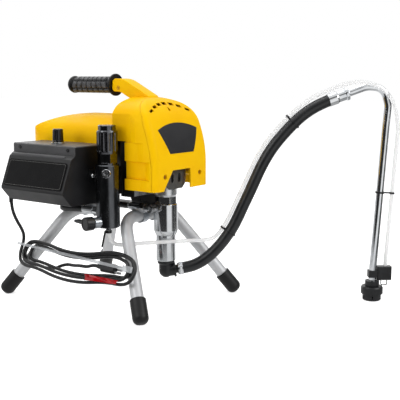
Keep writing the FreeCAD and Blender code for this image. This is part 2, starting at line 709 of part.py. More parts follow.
def hose_sleeve():
    """Crimped chrome sleeve between the hose and the tube."""
    start = suction_point(*HOSE_ROUTE[-1])
    on = suction_point(*DROP_ROUTE[1]) - start
    on.normalize()
    return turned([(SUCTION_BORE - SNUG, -17), (SUCTION_R + 1.4, -17), (SUCTION_R + 1.4, 0),
                   (SLEEVE_R, 3), (SLEEVE_R, 18), (SLEEVE_R + 2, 19), (SLEEVE_R + 2, 24),
                   (SLEEVE_R - 1, 26), (DROP_R + SNUG, 26), (DROP_R + SNUG, 0.6),
                   (SUCTION_BORE - SNUG, 0.6)], start, on).cut(
        turned([(SUCTION_BORE - SNUG - 0.1, -17), (SUCTION_R + SNUG, -17), (SUCTION_R + SNUG, SNUG),
                (SUCTION_BORE - SNUG - 0.1, SNUG)], start, on))


def drop_tube():
    points = in_suction_plane(DROP_ROUTE)
    start = points[0] + (points[1] - points[0]).normalize() * 1.0
    points = [start] + points[1:]
    wire = route(points, [60, 46, 26, 26, 200, 150, 150])
    return swept(wire, DROP_R).cut(swept(wire, DROP_BORE))


def strainer():
    """Inlet strainer: neck, flange and slotted cup standing on the floor."""
    body = turned([(DROP_R + SNUG, 0 + 30), (14.5, 30), (14.5, 41), (DROP_R + SNUG, 41)],
                  suction_point(STRAINER_S, 0), Z)
    flange = turned([(6, 14), (22.5, 14), (22.5, 27), (21, 29.5), (14, 29.5), (14, 31), (6, 31)],
                    suction_point(STRAINER_S, 0), Z)
    cup = turned([(0, 0), (STRAINER_R - 2, 0), (STRAINER_R, 2), (STRAINER_R, 15),
                  (STRAINER_R - 2.5, 15), (STRAINER_R - 2.5, 2.5), (0, 2.5)],
                 suction_point(STRAINER_S, 0), Z)
    for n in range(6):
        slot = block((-1.5, 1.5), (STRAINER_R - 5, STRAINER_R + 5), (4, 11))
        slot.rotate(vec(0, 0, 0), Z, n * 60)
        slot.translate(suction_point(STRAINER_S, 0))
        cup = cup.cut(slot)
    return joined(body, flange, cup)


def tube_clip():
    """Moulded clip that holds the return tube against the chrome tube, and its wire guard."""
    left = block((STRAINER_S - 9, STRAINER_S + 9), (-8, 8), (48, 63))
    right = block((STRAINER_S + 9, STRAINER_S + 39), (-9, 9), (43, 71))
    right = rounded(right, 4.0, lambda c, e: upright(e))
    clip = joined(left, right)
    clip = clip.cut(rod(DROP_R + SNUG, vec(STRAINER_S, 0, 40), vec(STRAINER_S, 0, 70)))
    clip = clip.cut(rod(CLEAR_TUBE_R + SNUG, vec(STRAINER_S + RETURN_S, 0, 40),
                        vec(STRAINER_S + RETURN_S, 0, 75)))
    clip.rotate(vec(0, 0, 0), Z, SUCTION_AZ)
    clip.translate(Y * PUMP_Y)
    return clip


RETURN_S = 26.0


def beside(pairs, spread):
    """Inner corners of a route drawn beside another, at its distance spread on the upper side."""
    corners = []
    for before, here, after in zip(pairs, pairs[1:], pairs[2:]):
        first = math.atan2(here[1] - before[1], here[0] - before[0])
        second = math.atan2(after[1] - here[1], after[0] - here[0])
        away = (first + second) / 2 + math.pi / 2
        reach = spread / math.cos((second - first) / 2)
        corners.append((here[0] + reach * math.cos(away), here[1] + reach * math.sin(away)))
    return corners


def return_points():
    """Route of the clear tube from the manifold's drain to the strainer."""
    side = OUT.cross(Z)
    points = [vec(MANIFOLD.x, MANIFOLD.y, MANIFOLD_Z[0] - 6 - SNUG),
              vec(-108, -70, 147.5), vec(-102.4, -74.5, 135.1), vec(-92.7, -82.2, 128.6),
              vec(-54, -113, 131), vec(-18, -147, 132), vec(22, -181, 132.5),
              suction_point(84, 130) + side * 4, suction_point(104, 137.1)]
    points += in_suction_plane(beside(HOSE_ROUTE[5:14], TIE_SPREAD))
    points += [suction_point(s, z) + side * lift for s, z, lift in
               ((303.5, 424, 0), (337, 437, 0), (364, 447, 6), (393, 451, 13), (430, 440, 17),
                (458, 410, 15), (469.6, 360, 6), (469.4, 330, 1), (467.6, 300, 0),
                (464.1, 240, 0), (460.4, 180, 0), (456.9, 120, 0),
                (STRAINER_S + RETURN_S, 72, 0), (STRAINER_S + RETURN_S, 44, 0))]
    return points


def return_tube():
    return cord("return_tube", return_points(), CLEAR_TUBE_R)


# Housing

def arch(half_width, top, bottom, shoulder, crown, y):
    """Face of an arch: level base, upright sides, round shoulders and a wide crown."""
    inset = crown - shoulder
    drop = math.sqrt(inset ** 2 - (half_width - shoulder) ** 2)
    crown_z = top - crown
    shoulder_z = crown_z + drop
    touch_x = (half_width - shoulder) * crown / inset
    touch_z = crown_z + drop * crown / inset
    angle = math.atan2(drop, half_width - shoulder) / 2
    mid_x = half_width - shoulder + shoulder * math.cos(angle)
    mid_z = shoulder_z + shoulder * math.sin(angle)

    def at(x, z):
        return vec(x, y, z)
    edges = [Part.LineSegment(at(-half_width, bottom), at(half_width, bottom)),
             Part.LineSegment(at(half_width, bottom), at(half_width, shoulder_z)),
             Part.Arc(at(half_width, shoulder_z), at(mid_x, mid_z), at(touch_x, touch_z)),
             Part.Arc(at(touch_x, touch_z), at(0, top), at(-touch_x, touch_z)),
             Part.Arc(at(-touch_x, touch_z), at(-mid_x, mid_z), at(-half_width, shoulder_z)),
             Part.LineSegment(at(-half_width, shoulder_z), at(-half_width, bottom))]
    return Part.Face(Part.Wire([e.toShape() for e in edges]))


def side_prism(edges, half_width):
    """Extrudes a closed outline drawn in Y and Z across the machine."""
    wire = Part.Wire([e.toShape() for e in edges])
    face = Part.Face(wire)
    face.translate(X * -half_width)
    return face.extrude(X * (2 * half_width))


def yz(y, z):
    return vec(0, y, z)


def hood_form(inset):
    """Outer form of the hood, an arch cut to its side profile, or that form drawn in by inset."""
    low = HOOD_Z[0] - (inset and 5)
    top = HOOD_Z[1] - inset
    body = arch(COVER_X - inset, top, low, SHOULDER_R - inset, CROWN_R - inset,
                FRONT_Y - 20).extrude(Y * (COLLAR_Y[1] - FRONT_Y + 20))
    lower_r = ((BROW_Y - FRONT_Y) ** 2 + (BROW_Z - FACE_Z) ** 2) / (2 * (BROW_Y - FRONT_Y))
    lean = math.asin((BROW_Z - FACE_Z) / lower_r)
    upper_r = (HOOD_Z[1] + CREST - BROW_Z) / (1 - math.sin(lean))
    lower_centre = yz(FRONT_Y + lower_r, FACE_Z)
    upper_centre = yz(BROW_Y + upper_r * math.cos(lean), BROW_Z - upper_r * math.sin(lean))

    def on_arc(centre, radius, angle):
        return centre + yz(-math.cos(angle), math.sin(angle)) * (radius - inset)
    face_low = yz(FRONT_Y + inset, low)
    face_top = on_arc(lower_centre, lower_r, 0)
    brow = on_arc(lower_centre, lower_r, lean)
    summit = on_arc(upper_centre, upper_r, math.pi / 2)
    rear_top = yz(COLLAR_Y[1], top + CREST)
    rear_low = yz(COLLAR_Y[1], low)
    profile = [Part.LineSegment(face_low, face_top),
               Part.Arc(face_top, on_arc(lower_centre, lower_r, lean / 2), brow),
               Part.Arc(brow, on_arc(upper_centre, upper_r, (lean + math.pi / 2) / 2), summit),
               Part.LineSegment(summit, rear_top), Part.LineSegment(rear_top, rear_low),
               Part.LineSegment(rear_low, face_low)]
    return body.common(side_prism(profile, COVER_X + 20))


def hood_skin(inset):
    """The hood's form with its front edges rounded."""
    return rounded(hood_form(inset), NOSE_R - inset, lambda c, e: abs(c.x) > COVER_X / 2 and
                   c.y < BROW_Y + 28 and c.z > HOOD_Z[0] + 1)


def seam_prism(shift):
    """Everything in front of the seam between the front cover and the middle housing."""
    points = [(-96 + shift, 432), (-103 + shift, 416), (-122 + shift, 401), (-137 + shift, 384),
              (-149 + shift, 350), (-158 + shift, 318), (-162 + shift, 285), (-162 + shift, 230),
              (-200, 230), (-200, 432)]
    return prism(points, "x", -COVER_X - 20, COVER_X + 20)


WELL_X = 54.6
WELL_Z = 268.0
WELL_R = 5.0
WELL_DEPTH = 6.0
SCREW_R = 2.4
BADGE_T = 1.4
VENT_Z = 406.8


def badge_prism(grow):
    """Fan-shaped outline of the badge, carried through the front of the cover."""
    y = FRONT_Y - 5
    half_top, half_low, low_z, side_z, apex_z = 60.6, 36.7, 311.4, 358, 370
    left_top = vec(-half_top - grow, y, side_z)
    right_top = vec(half_top + grow, y, side_z)
    left_low = vec(-half_low - grow, y, low_z - grow)
    right_low = vec(half_low + grow, y, low_z - grow)
    edges = [Part.Arc(left_top, vec(0, y, apex_z + grow), right_top),
             Part.LineSegment(right_top, right_low), Part.LineSegment(right_low, left_low),
             Part.LineSegment(left_low, left_top)]
    return Part.Face(Part.Wire([e.toShape() for e in edges])).extrude(Y * 30)


def vent_slots():
    """Seven slots on an arc across the brow of the cover, and a drop-shaped hole below them."""
    slots = []
    for n in range(-3, 4):
        slot = block((-6.5, 6.5), (-160, -100), (-2.4, 2.4))
        slot.rotate(vec(0, 0, 0), Y, n * 6)
        slot.translate(vec(n * 18.5, 0, VENT_Z - 1.45 * n * n))
        slots.append(slot)
    drop = rod(2.8, vec(0, -160, VENT_Z - 12), vec(0, -110, VENT_Z - 12))
    tip = prism([(-2.6, VENT_Z - 11), (2.6, VENT_Z - 11), (0, VENT_Z - 6)], "y", -160, -110)
    return slots + [joined(drop, tip)]


def front_cover():
    """Moulded front cover: rounded shell, badge recess, vents, screw wells and pump window."""
    shell = hood_skin(0).cut(hood_skin(WALL))
    for side in (-1, 1):
        at = vec(side * WELL_X, 0, WELL_Z)
        shell = shell.fuse(rod(WELL_R + 2.5, at + Y * (FRONT_Y + 1), at + Y * (FRONT_Y + 9)))
        shell = shell.cut(rod(WELL_R, at + Y * (FRONT_Y - 1), at + Y * (FRONT_Y + WELL_DEPTH)))
        shell = shell.cut(rod(SCREW_R + SNUG, at + Y * FRONT_Y, at + Y * (FRONT_Y + 12)))
    window = prism([(-64, 230), (-57, 243), (-31, 279), (24, 279), (25, 230)], "y",
                   FRONT_Y - 10, FRONT_Y + 12)
    recess = badge_prism(SNUG).cut(hood_skin(BADGE_T + SNUG))
    shell = shell.common(seam_prism(-SEAM / 2)).cut(window).cut(recess)
    return shell.cut(grouped(*vent_slots()))


def badge_plate():
    """Blank badge, following the curve of the cover."""
    return badge_prism(0).common(hood_skin(0)).cut(hood_skin(BADGE_T))


# Side scoops of the middle housing: low and high edge, depth, and where each runs out
SCOOPS = [(232, 262, 2.0, -150), (262, 297, 7.0, -158), (297, 333, 2.5, -142),
          (333, 398, 5.0, -122)]


def mid_form(inset):
    """The middle housing's form: the hood with its stepped side scoops and narrower collar."""
    body = hood_skin(inset)
    cutters = []
    for low, high, depth, end in SCOOPS:
        wall = COVER_X - inset
        plan = [(wall + 30, COLLAR_Y[1] + 1), (wall - depth, COLLAR_Y[1] + 1),
                (wall - depth, end + 16), (wall + 0.01, end), (wall + 30, end)]
        cutters.append(prism(plan, "z", low - inset, high + inset))
    collar = block((COLLAR_X - inset, COVER_X + 30), (COLLAR_Y[0], COLLAR_Y[1] + 1), (200, 440))
    cutters.append(collar)
    for cutter in cutters:
        body = body.cut(cutter).cut(mirrored(cutter))
    return body


def mid_housing():
    """Middle housing: stepped sides, collar over the shroud, posts on the gearbox, screw bosses."""
    below_collar = block((-120, 120), (COLLAR_Y[0], COLLAR_Y[1] + 1), (200, COLLAR_Z))
    outer = mid_form(0).cut(below_collar)
    inside = mid_form(WALL).common(block((-120, 120), (-200, COLLAR_Y[1] - WALL), (200, 440)))
    shell = outer.cut(inside).cut(seam_prism(SEAM / 2))
    opening = arch(SHROUD_X - 5, SHROUD_Z[1] - 5, 200, 35, 85, COLLAR_Y[1] - 10).extrude(Y * 20)
    shell = shell.cut(opening)
    for side in (-1, 1):
        post = rod(5, vec(side * 26, -80, GEARBOX_Z[1] + SNUG), vec(side * 26, -80, HOOD_Z[1] - 4))
        boss = rod(7, vec(side * WELL_X, -161, WELL_Z), vec(side * WELL_X, -140, WELL_Z))
        web = block((min(side * WELL_X, side * 78), max(side * WELL_X, side * 78)), (-158, -140),
                    (WELL_Z - 1.5, WELL_Z + 1.5))
        shell = shell.fuse(post).fuse(boss.cut(seam_prism(SEAM / 2))).fuse(web)
        shell = shell.cut(rod(SCREW_R + SNUG, vec(side * WELL_X, -165, WELL_Z),
                              vec(side * WELL_X, -143, WELL_Z)))
    return shell


def cover_screws():
    """Two pan-head screws, each at the bottom of its well."""
    screws = []
    for side in (-1, 1):
        at = vec(side * WELL_X, 0, WELL_Z)
        floor = FRONT_Y + WELL_DEPTH
        head = rod(WELL_R - 0.8, at + Y * (floor - 3), at + Y * floor)
        screws.append(joined(head, rod(SCREW_R, at + Y * (floor - 1), at + Y * (floor + 20))))
    return grouped(*screws)


def shroud_form(inset):
    """Form of the motor shroud: an arch, its side profile and its rounded plan together."""
    low = SHROUD_Z[0] - (inset and 5)
    high = SHROUD_Z[1] - inset
    start = SHROUD_Y[0] - (inset and 1)
    end = SHROUD_Y[1] - inset
    body = arch(SHROUD_X - inset, high, low, 40 - inset, 90 - inset, start).extrude(
        Y * (SHROUD_Y[1] + 5 - start))
    profile = [Part.LineSegment(yz(start, low), yz(start, high)),
               Part.LineSegment(yz(start, high), yz(55, high)),
               Part.Arc(yz(55, high), yz(114, 379 - inset), yz(168 - 0.4 * inset, 363 - inset)),
               Part.Arc(yz(168 - 0.4 * inset, 363 - inset), yz(193 - 0.7 * inset, 347 - 0.7 * inset),
                        yz(end, 318)),
               Part.LineSegment(yz(end, 318), yz(end, low)),
               Part.LineSegment(yz(end, low), yz(start, low))]
    wide, corner = SHROUD_X - inset, SHROUD_CORNER - inset
    slant = corner * math.sqrt(0.5)
    plan = [Part.LineSegment(vec(-wide, start, low), vec(wide, start, low)),
            Part.LineSegment(vec(wide, start, low), vec(wide, end - corner, low)),
            Part.Arc(vec(wide, end - corner, low),
                     vec(wide - corner + slant, end - corner + slant, low),
                     vec(wide - corner, end, low)),
            Part.LineSegment(vec(wide - corner, end, low), vec(corner - wide, end, low)),
            Part.Arc(vec(corner - wide, end, low),
                     vec(corner - wide - slant, end - corner + slant, low),
                     vec(-wide, end - corner, low)),
            Part.LineSegment(vec(-wide, end - corner, low), vec(-wide, start, low))]
    plan_face = Part.Face(Part.Wire([e.toShape() for e in plan]))
    return body.common(side_prism(profile, 120)).common(plan_face.extrude(Z * 120))


def rear_shroud():
    """Motor shroud with air slots in its rear wall and feet on the motor's end bell."""
    shell = shroud_form(0).cut(shroud_form(WALL))
    for n in range(5):
        z = 300 + n * 8
        shell = shell.cut(block((-24, 24), (190, 220), (z, z + 3.6)))
    for side in (-1, 1):
        near, far = side * (MOTOR_R - 6), side * (SHROUD_X - 1)
        foot = prism([(near, 318), (far, 318), (far, 323), (near, 323)], "y", BELL_Y - 22,
                     BELL_Y - 10)
        foot = foot.cut(rod(MOTOR_R + SNUG, vec(0, BELL_Y - 30, MOTOR_Z),
                            vec(0, BELL_Y, MOTOR_Z)))
        shell = shell.fuse(foot)
    return shell


def pump_guard():
    """Grey plate in front of the crosshead, with two slots, on two short posts."""
    plate = prism([(-20, 238), (20, 238), (29, 247), (29, 278), (-29, 278), (-29, 247)],
                  "y", -154, -151)
    for x in (-11, 11):
        slot = rounded(block((x - 4, x + 4), (-156, -149), (251, 269)), 3.9,
                       lambda c, e: abs(c.z - 251) < 0.1 and abs(c.x - x) > 3 or
                       abs(c.z - 269) < 0.1 and abs(c.x - x) > 3)
        plate = plate.cut(slot)
    posts = [rod(3, vec(x, -152, 246), vec(x, HEAD_Y - SNUG, 246)) for x in (-18, 18)]
    return joined(plate, *posts)


def handle_arm():
    """Channelled arm from the housing's crown to the grip, with the spigot inside the grip."""
    body = prism([(2, 456), (-27, 456), (-98, 421), (-98, 412), (-56, 412), (-44, 417), (-18, 430),
                  (2, 430)], "x", -ARM_X, ARM_X)
    channel = prism([(-84, 400), (-84, 422), (-28, 451), (-6, 451), (-6, 427), (-16, 425),
                     (-40, 414), (-40, 400)], "x", -ARM_X + 4, ARM_X - 4)
    body = body.cut(channel)
    body = rounded(body, 3.0, lambda c, e: abs(abs(c.x) - ARM_X) < 0.1 and c.z > 430)
    seat = mid_form(-FREE)
    spigot = rod(SPIGOT_R, vec(0, -4, GRIP_Z), vec(0, GRIP_Y[0] + 60, GRIP_Z))
    return joined(body.cut(seat), spigot)


def handle_grip():
    """Soft grip: flange, barrel with shallow rings of grooves, and rounded end."""
    flange = turned([(SPIGOT_R + SNUG, 4), (GRIP_R + 4.5, 4), (GRIP_R + 5.5, 5.5), (GRIP_R + 5, 9),
                     (GRIP_R - 1.5, 10), (GRIP_R - 1, 14), (GRIP_R, 15.5), (GRIP_R, 122),
                     (GRIP_R + 1, 124), (GRIP_R + 1, 128), (GRIP_R - 2, 133), (GRIP_R - 6, 136),
                     (0, 136.5), (0, GRIP_Y[0] + 61), (SPIGOT_R + SNUG, GRIP_Y[0] + 61)],
                    vec(0, 0, GRIP_Z), Y)
    return flange


# Manifold

VIEW = vec(-0.8, -0.6, 0)
PRIME = vec(math.cos(math.radians(PRIME_AZ)), math.sin(math.radians(PRIME_AZ)), 0)
SPRAY = vec(math.cos(math.radians(SPRAY_AZ)), math.sin(math.radians(SPRAY_AZ)), 0)
PLUG_Z = 275.0


def at_manifold(z):
    return vec(MANIFOLD.x, MANIFOLD.y, z)


def manifold_body():
    """Filter manifold: chamber, mounting lug, hose port, drain nipple and valve seat."""
    low, high = MANIFOLD_Z
    body = turned([(0, low), (MANIFOLD_R - 2, low), (MANIFOLD_R, low + 2), (MANIFOLD_R, high - 1.5),
                   (MANIFOLD_R - 1.5, high), (CHAMBER_R, high), (CHAMBER_R, low + 20),
                   (0, low + 20)], at_manifold(0), Z)
    lug = block((-101, -84), (MANIFOLD.y + 10, WING_Y[0] - SNUG), (LUG_Z[0] + 6, LUG_Z[1] - 6))
    lug = lug.cut(rod(CHAMBER_R + 3, at_manifold(200), at_manifold(300)))
    port = rod(11, at_manifold(PORT_Z) + Y * (CHAMBER_R + 3), at_manifold(PORT_Z) + Y * 23.5)
    nipple = rod(5, at_manifold(low - 6), at_manifold(low + 1))
    outlet_boss = rod(9, at_manifold(SPRAY_Z) + SPRAY * 10,
                      at_manifold(SPRAY_Z) + SPRAY * (MANIFOLD_R + 3))
    body = joined(body, lug, port, nipple, outlet_boss)
    valve_seat = rod(11.2, at_manifold(PRIME_Z) + PRIME * 19.8, at_manifold(PRIME_Z) + PRIME * 40)
    plug_seat = rod(9, at_manifold(PLUG_Z) + VIEW * 19.5, at_manifold(PLUG_Z) + VIEW * 30)
    inlet = rod(4, at_manifold(PORT_Z), at_manifold(PORT_Z) + Y * 24)
    outlet = joined(rod(4, at_manifold(SPRAY_Z), at_manifold(SPRAY_Z) + SPRAY * 30),
                    rod(4, at_manifold(SPRAY_Z), at_manifold(low + 22)))
    return body.cut(valve_seat).cut(plug_seat).cut(inlet).cut(outlet)


def filter_cap():
    """Screwed cap of the filter chamber: hexagon below, fluted barrel and rim above."""
    low = MANIFOLD_Z[1]
    spigot = rod(CHAMBER_R - SNUG, at_manifold(low - 10), at_manifold(low + 2))
    neck = rod(18.5, at_manifold(low + SNUG), at_manifold(low + 4))
    six = hexagon(34, at_manifold(low + 3), at_manifold(low + 22))
    barrel = turned([(0, 312), (19, 312), (20.5, 316), (20.5, 355), (19.5, 357), (17.5, 357.5),
                     (17.5, 366.5), (16, 368), (0, 368)], at_manifold(0), Z)
    for n in range(12):
        angle = math.radians(n * 30)
        at = at_manifold(0) + vec(math.cos(angle), math.sin(angle), 0) * 22.2
        barrel = barrel.cut(rod(3, at + Z * 318, at + Z * 353))
    return joined(spigot, neck, six, barrel)


def filter_element():
    """Mesh filter cartridge on its core, standing in the chamber."""
    return turned([(5, 188), (11, 188), (11, 192), (10, 192), (10, 272), (11, 272), (11, 280.5),
                   (5, 280.5)], at_manifold(0), Z)


def manifold_plug():
    """Plug with a hexagon socket in the side of the manifold."""
    start = at_manifold(PLUG_Z) + VIEW * 19.7
    plug = rod(8.75, start, start + VIEW * 4.5)
    plug = plug.makeChamfer(0.8, [e for e in plug.Edges if len(e.Vertexes) == 1 and
                                  (e.CenterOfMass - start).Length > 4])
    return plug.cut(hexagon(8, start + VIEW * 1.5, start + VIEW * 6))


def prime_valve_body():
    start = at_manifold(PRIME_Z)
    body = joined(rod(11, start + PRIME * 20, start + PRIME * 34),
                  hexagon(19, start + PRIME * 26, start + PRIME * 35))
    return body.cut(rod(4 + RUN, start + PRIME * 26, start + PRIME * 40))


LEVER = vec(-PRIME.y, PRIME.x, 0) * -1


def prime_knob():
    """Knob of the prime valve with its flat lever, on a short stem."""
    start = at_manifold(PRIME_Z)
    knob = turned([(0, 36), (12.5, 36), (13.5, 37.5), (13.5, 52.5), (12.5, 54), (10, 54),
                   (9.5, 53), (0, 53)], start, PRIME)
    stem = rod(4, start + PRIME * 27, start + PRIME * 37)
    bar = block((-5, 5), (0, 45), (-3, 3))
    bar = rounded(bar, 2.9, lambda c, e: abs(c.y - 45) < 0.1 and abs(c.z) > 2.5)
    bar.rotate(vec(0, 0, 0), Z, PRIME_AZ - 180)
    bar.translate(start + PRIME * 45 + LEVER * 3)
    return joined(knob, stem, bar)


def spray_outlet():
    """Threaded nipple for the spray gun's hose."""
    start = at_manifold(SPRAY_Z) + SPRAY * (MANIFOLD_R + 3 + SNUG)
    body = joined(hexagon(16, start, start + SPRAY * 6), rod(6.5, start + SPRAY * 5, start + SPRAY * 20))
    return body.cut(rod(3.5, start - SPRAY, start + SPRAY * 21))


# High pressure hose

HOSE_START = vec(MANIFOLD.x, -19, PORT_Z)
HOSE_END = vec(-PUMP_R - SNUG - 20, PUMP_Y + 52, OUTLET_Z)


def high_pressure_hose():
    """Hose from the manifold, back under the control box, round and forward to the pump."""
    points = [HOSE_START, HOSE_START + Y * 25, vec(-108, 74, 190.5), vec(-58, 71, 199),
              vec(-45, -12, 204), HOSE_END + Y * 24, HOSE_END]
    return swept(route(points, [200, 22, 24, 180, 150]), HOSE_R)


def hose_ferrules():
    """End fittings of the hose: nut and crimped ferrule at the manifold and at the pump."""
    port = at_manifold(PORT_Z) + Y * (23.5 + SNUG)
    nut = joined(hexagon(19, port, port + Y * 11), rod(6.5, port + Y * 10, port + Y * 16))
    ferrule = turned([(HOSE_R + SNUG, 15), (8.2, 15), (8.2, 42), (7.4, 44), (HOSE_R + SNUG, 44)],
                     port, Y)
    end = pump_nut_end()
    ferrule_end = turned([(0, SNUG), (8.2, SNUG), (8.2, 30), (7.4, 32), (HOSE_R + SNUG, 32),
                          (HOSE_R + SNUG, 26.8), (0, 26.8)], end, Y)
    return grouped(joined(nut, ferrule), ferrule_end)


def pump_nut_end():
    return vec(HOSE_END.x, PUMP_Y + 25, HOSE_END.z)


# Control box

BOX_SECTION = [(-73, 326), (-153, 326), (-155, 324), (-155, 309), (-160, 305), (-166, 301),
               (-168, 297), (-191, 239), (-190.5, 235), (-170, 212), (-166, 210), (-73, 210)]
BOX_INSIDE = [(-76, 323), (-152, 323), (-152, 310.5), (-163, 300), (-165, 296), (-187.5, 238.5),
              (-168.5, 215), (-166, 213), (-76, 213)]
PANEL_TOP = vec(-168, 0, 297)
PANEL_LEAN = math.degrees(math.atan2(23, 58))


def control_box():
    """Control box, its slanted side panel wall and its lipped lid in one moulding."""
    shell = prism(BOX_SECTION, "y", *BOX_Y)
    inside = prism(BOX_INSIDE, "y", BOX_Y[0] + BOX_WALL, BOX_Y[1] - BOX_WALL)
    shell = rounded(shell, 2.5, lambda c, e: abs(c.y - BOX_Y[0]) < 0.1 and c.z > 325)
    shell = shell.cut(inside)
    shell = shell.cut(rod(3 + RUN, vec(KNOB[0], KNOB[1], 320), vec(KNOB[0], KNOB[1], 330)))
    x, z = SWITCH
    shell = shell.cut(block((x - 7, x + 7), (BOX_Y[0] - 1, BOX_Y[0] + 5), (z - 11, z + 11)))
    for y in (-10, 130):
        shell = shell.fuse(rod(3.5, vec(-150, y, 318), vec(-156.5, y, 318)))
    return shell


def control_panel():
    """Blank panel plate on the slanted side."""
    height = 56.0
    plate = block((-1.5, 0), (BOX_Y[0] + 6, BOX_Y[1] - 6), (-height - 3, -3))
    plate = rounded(plate, 5.0, lambda c, e: abs(c.x + 0.75) < 0.01)
    plate.translate(X * -SNUG)
    plate.rotate(vec(0, 0, 0), Y, PANEL_LEAN)
    plate.translate(PANEL_TOP)
    return plate


def pressure_knob():
    """Fluted knob on the potentiometer's shaft."""
    base = vec(KNOB[0], KNOB[1], 0)
    knob = turned([(0, 329.6), (KNOB_R + 0.5, 329.6), (KNOB_R, 334), (KNOB_R - 0.6, 354.5),
                   (KNOB_R - 2, 356), (0, 356)], base, Z)
    for n in range(10):
        angle = math.radians(n * 36)
        at = base + vec(math.cos(angle), math.sin(angle), 0) * (KNOB_R + 1.2)
        knob = knob.cut(rod(2.0, at + Z * 333, at + Z * 357))
    return joined(knob, rod(3, base + Z * 308, base + Z * 331))


def knob_ring():
    base = vec(KNOB[0], KNOB[1], 326 + SNUG)
    ring = pipe(13, 5, base, base + Z * 3)
    lug = block((-17, -11), (-2, 2), (0, 3))
    lug.translate(base)
    return joined(ring, lug)


def power_switch():
    """Toggle switch: body inside the box, bezel outside."""
    x, z = SWITCH
    body = block((x - 7 + SNUG, x + 7 - SNUG), (BOX_Y[0] - 0.5, BOX_Y[0] + 22),
                 (z - 11 + SNUG, z + 11 - SNUG))
    bezel = block((x - 9, x + 9), (BOX_Y[0] - 2, BOX_Y[0] - SNUG), (z - 13, z + 13))
    bezel = rounded(bezel, 2.0, lambda c, e: abs(c.y - BOX_Y[0] + 1) < 0.5 and
                    abs(abs(c.x - x) - 9) < 0.1 and abs(abs(c.z - z) - 13) < 0.1)
    switch = joined(body, bezel)
    recess = Part.makeSphere(4.6, vec(x, BOX_Y[0] - 2, z))
    travel = block((x - 2.6, x + 2.6), (BOX_Y[0] - 6, BOX_Y[0] + 1.5), (z - 7, z + 7))
    return switch.cut(recess).cut(travel)


def switch_lever():
    x, z = SWITCH
    pivot = vec(x, BOX_Y[0] - 2, z)
    tilt = math.radians(20)
    heading = vec(0, -math.cos(tilt), math.sin(tilt))
    ball = Part.makeSphere(4.2, pivot)
    stick = placed(Part.makeCone(1.8, 2.6, 12), pivot + heading * 2, heading)
    return joined(ball, stick)


def circuit_board():
    """Motor control: board on pillars, two capacitors, heat sink and the potentiometer."""
    board = block((-88, -86.4), (0, 120), (222, 300))
    pillars = [rod(3, vec(-76 - SNUG, y, z), vec(-86.5, y, z)) for y in (8, 112)
               for z in (230, 292)]
    parts = [rod(11, vec(-88, y, 245), vec(-118, y, 245)) for y in (30, 62)]
    sink = block((-112, -88), (80, 114), (235, 285))
    pot = rod(9, vec(KNOB[0], KNOB[1], 323 - SNUG), vec(KNOB[0], KNOB[1], 312))
    pot = pot.cut(rod(3 + RUN, vec(KNOB[0], KNOB[1], 300), vec(KNOB[0], KNOB[1], 330)))
    return grouped(joined(board, sink, *(pillars + parts)), pot)


GLAND = vec(-161, 157, 226)


def cord_gland():
    """Angled strain relief on the rear wall; the cord leaves it downwards."""
    wall = vec(GLAND.x, BOX_Y[1] + SNUG, GLAND.z + 11)
    nut = rod(10, wall, wall + Y * 3)
    elbow = joined(rod(6.5, wall, vec(GLAND.x, GLAND.y, GLAND.z + 11)),
                   Part.makeSphere(6.5, vec(GLAND.x, GLAND.y, GLAND.z + 11)),
                   placed(Part.makeCone(5.0, 6.5, 11), GLAND, Z))
    return joined(nut, elbow)


# Mains cord: drop, hank and plug

LEG_UP = vec(FOOT_X - RAIL_X, 0, RAIL_Z - FOOT_Z).normalize()
LEG_OUT = vec(-LEG_UP.z, 0, LEG_UP.x)


def hank_point(y, w, out):
    """A point of the hank: y along it, w up the legs' plane, out from that plane."""
    base = vec(-FOOT_X, y, FOOT_Z) + LEG_UP * ((HANK_Z - FOOT_Z) / LEG_UP.z)
    return base + LEG_UP * w + LEG_OUT * out


def s_bend(start, end):
    """Two arcs from start to end, both ends heading along Y."""
    middle = (start + end) * 0.5
    aside = vec(end.x - start.x, 0, end.z - start.z)
    rise, length = aside.Length / 2, abs(end.y - start.y) / 2
    if rise < 1e-6:
        return [Part.LineSegment(start, end)]
    radius = (length ** 2 + rise ** 2) / (2 * rise)
    side = aside.normalize()
    angle = math.asin(length / radius) / 2
    way = 1 if end.y > start.y else -1

    def near(origin, sign):
        return origin + side * (sign * radius * (1 - math.cos(angle))) + \
            Y * (sign * way * radius * math.sin(angle))
    return [Part.Arc(start, near(start, 1), middle), Part.Arc(middle, near(end, -1), end)]


def half_turn(y, w, radius, side, out, from_top):
    """Half a turn round (y, w), at the left end (side 1) or the right end (side -1)."""
    top = hank_point(y, w + radius, out)
    low = hank_point(y, w - radius, out)
    far = hank_point(y + side * radius, w, out)
    return Part.Arc(top, far, low) if from_top else Part.Arc(low, far, top)


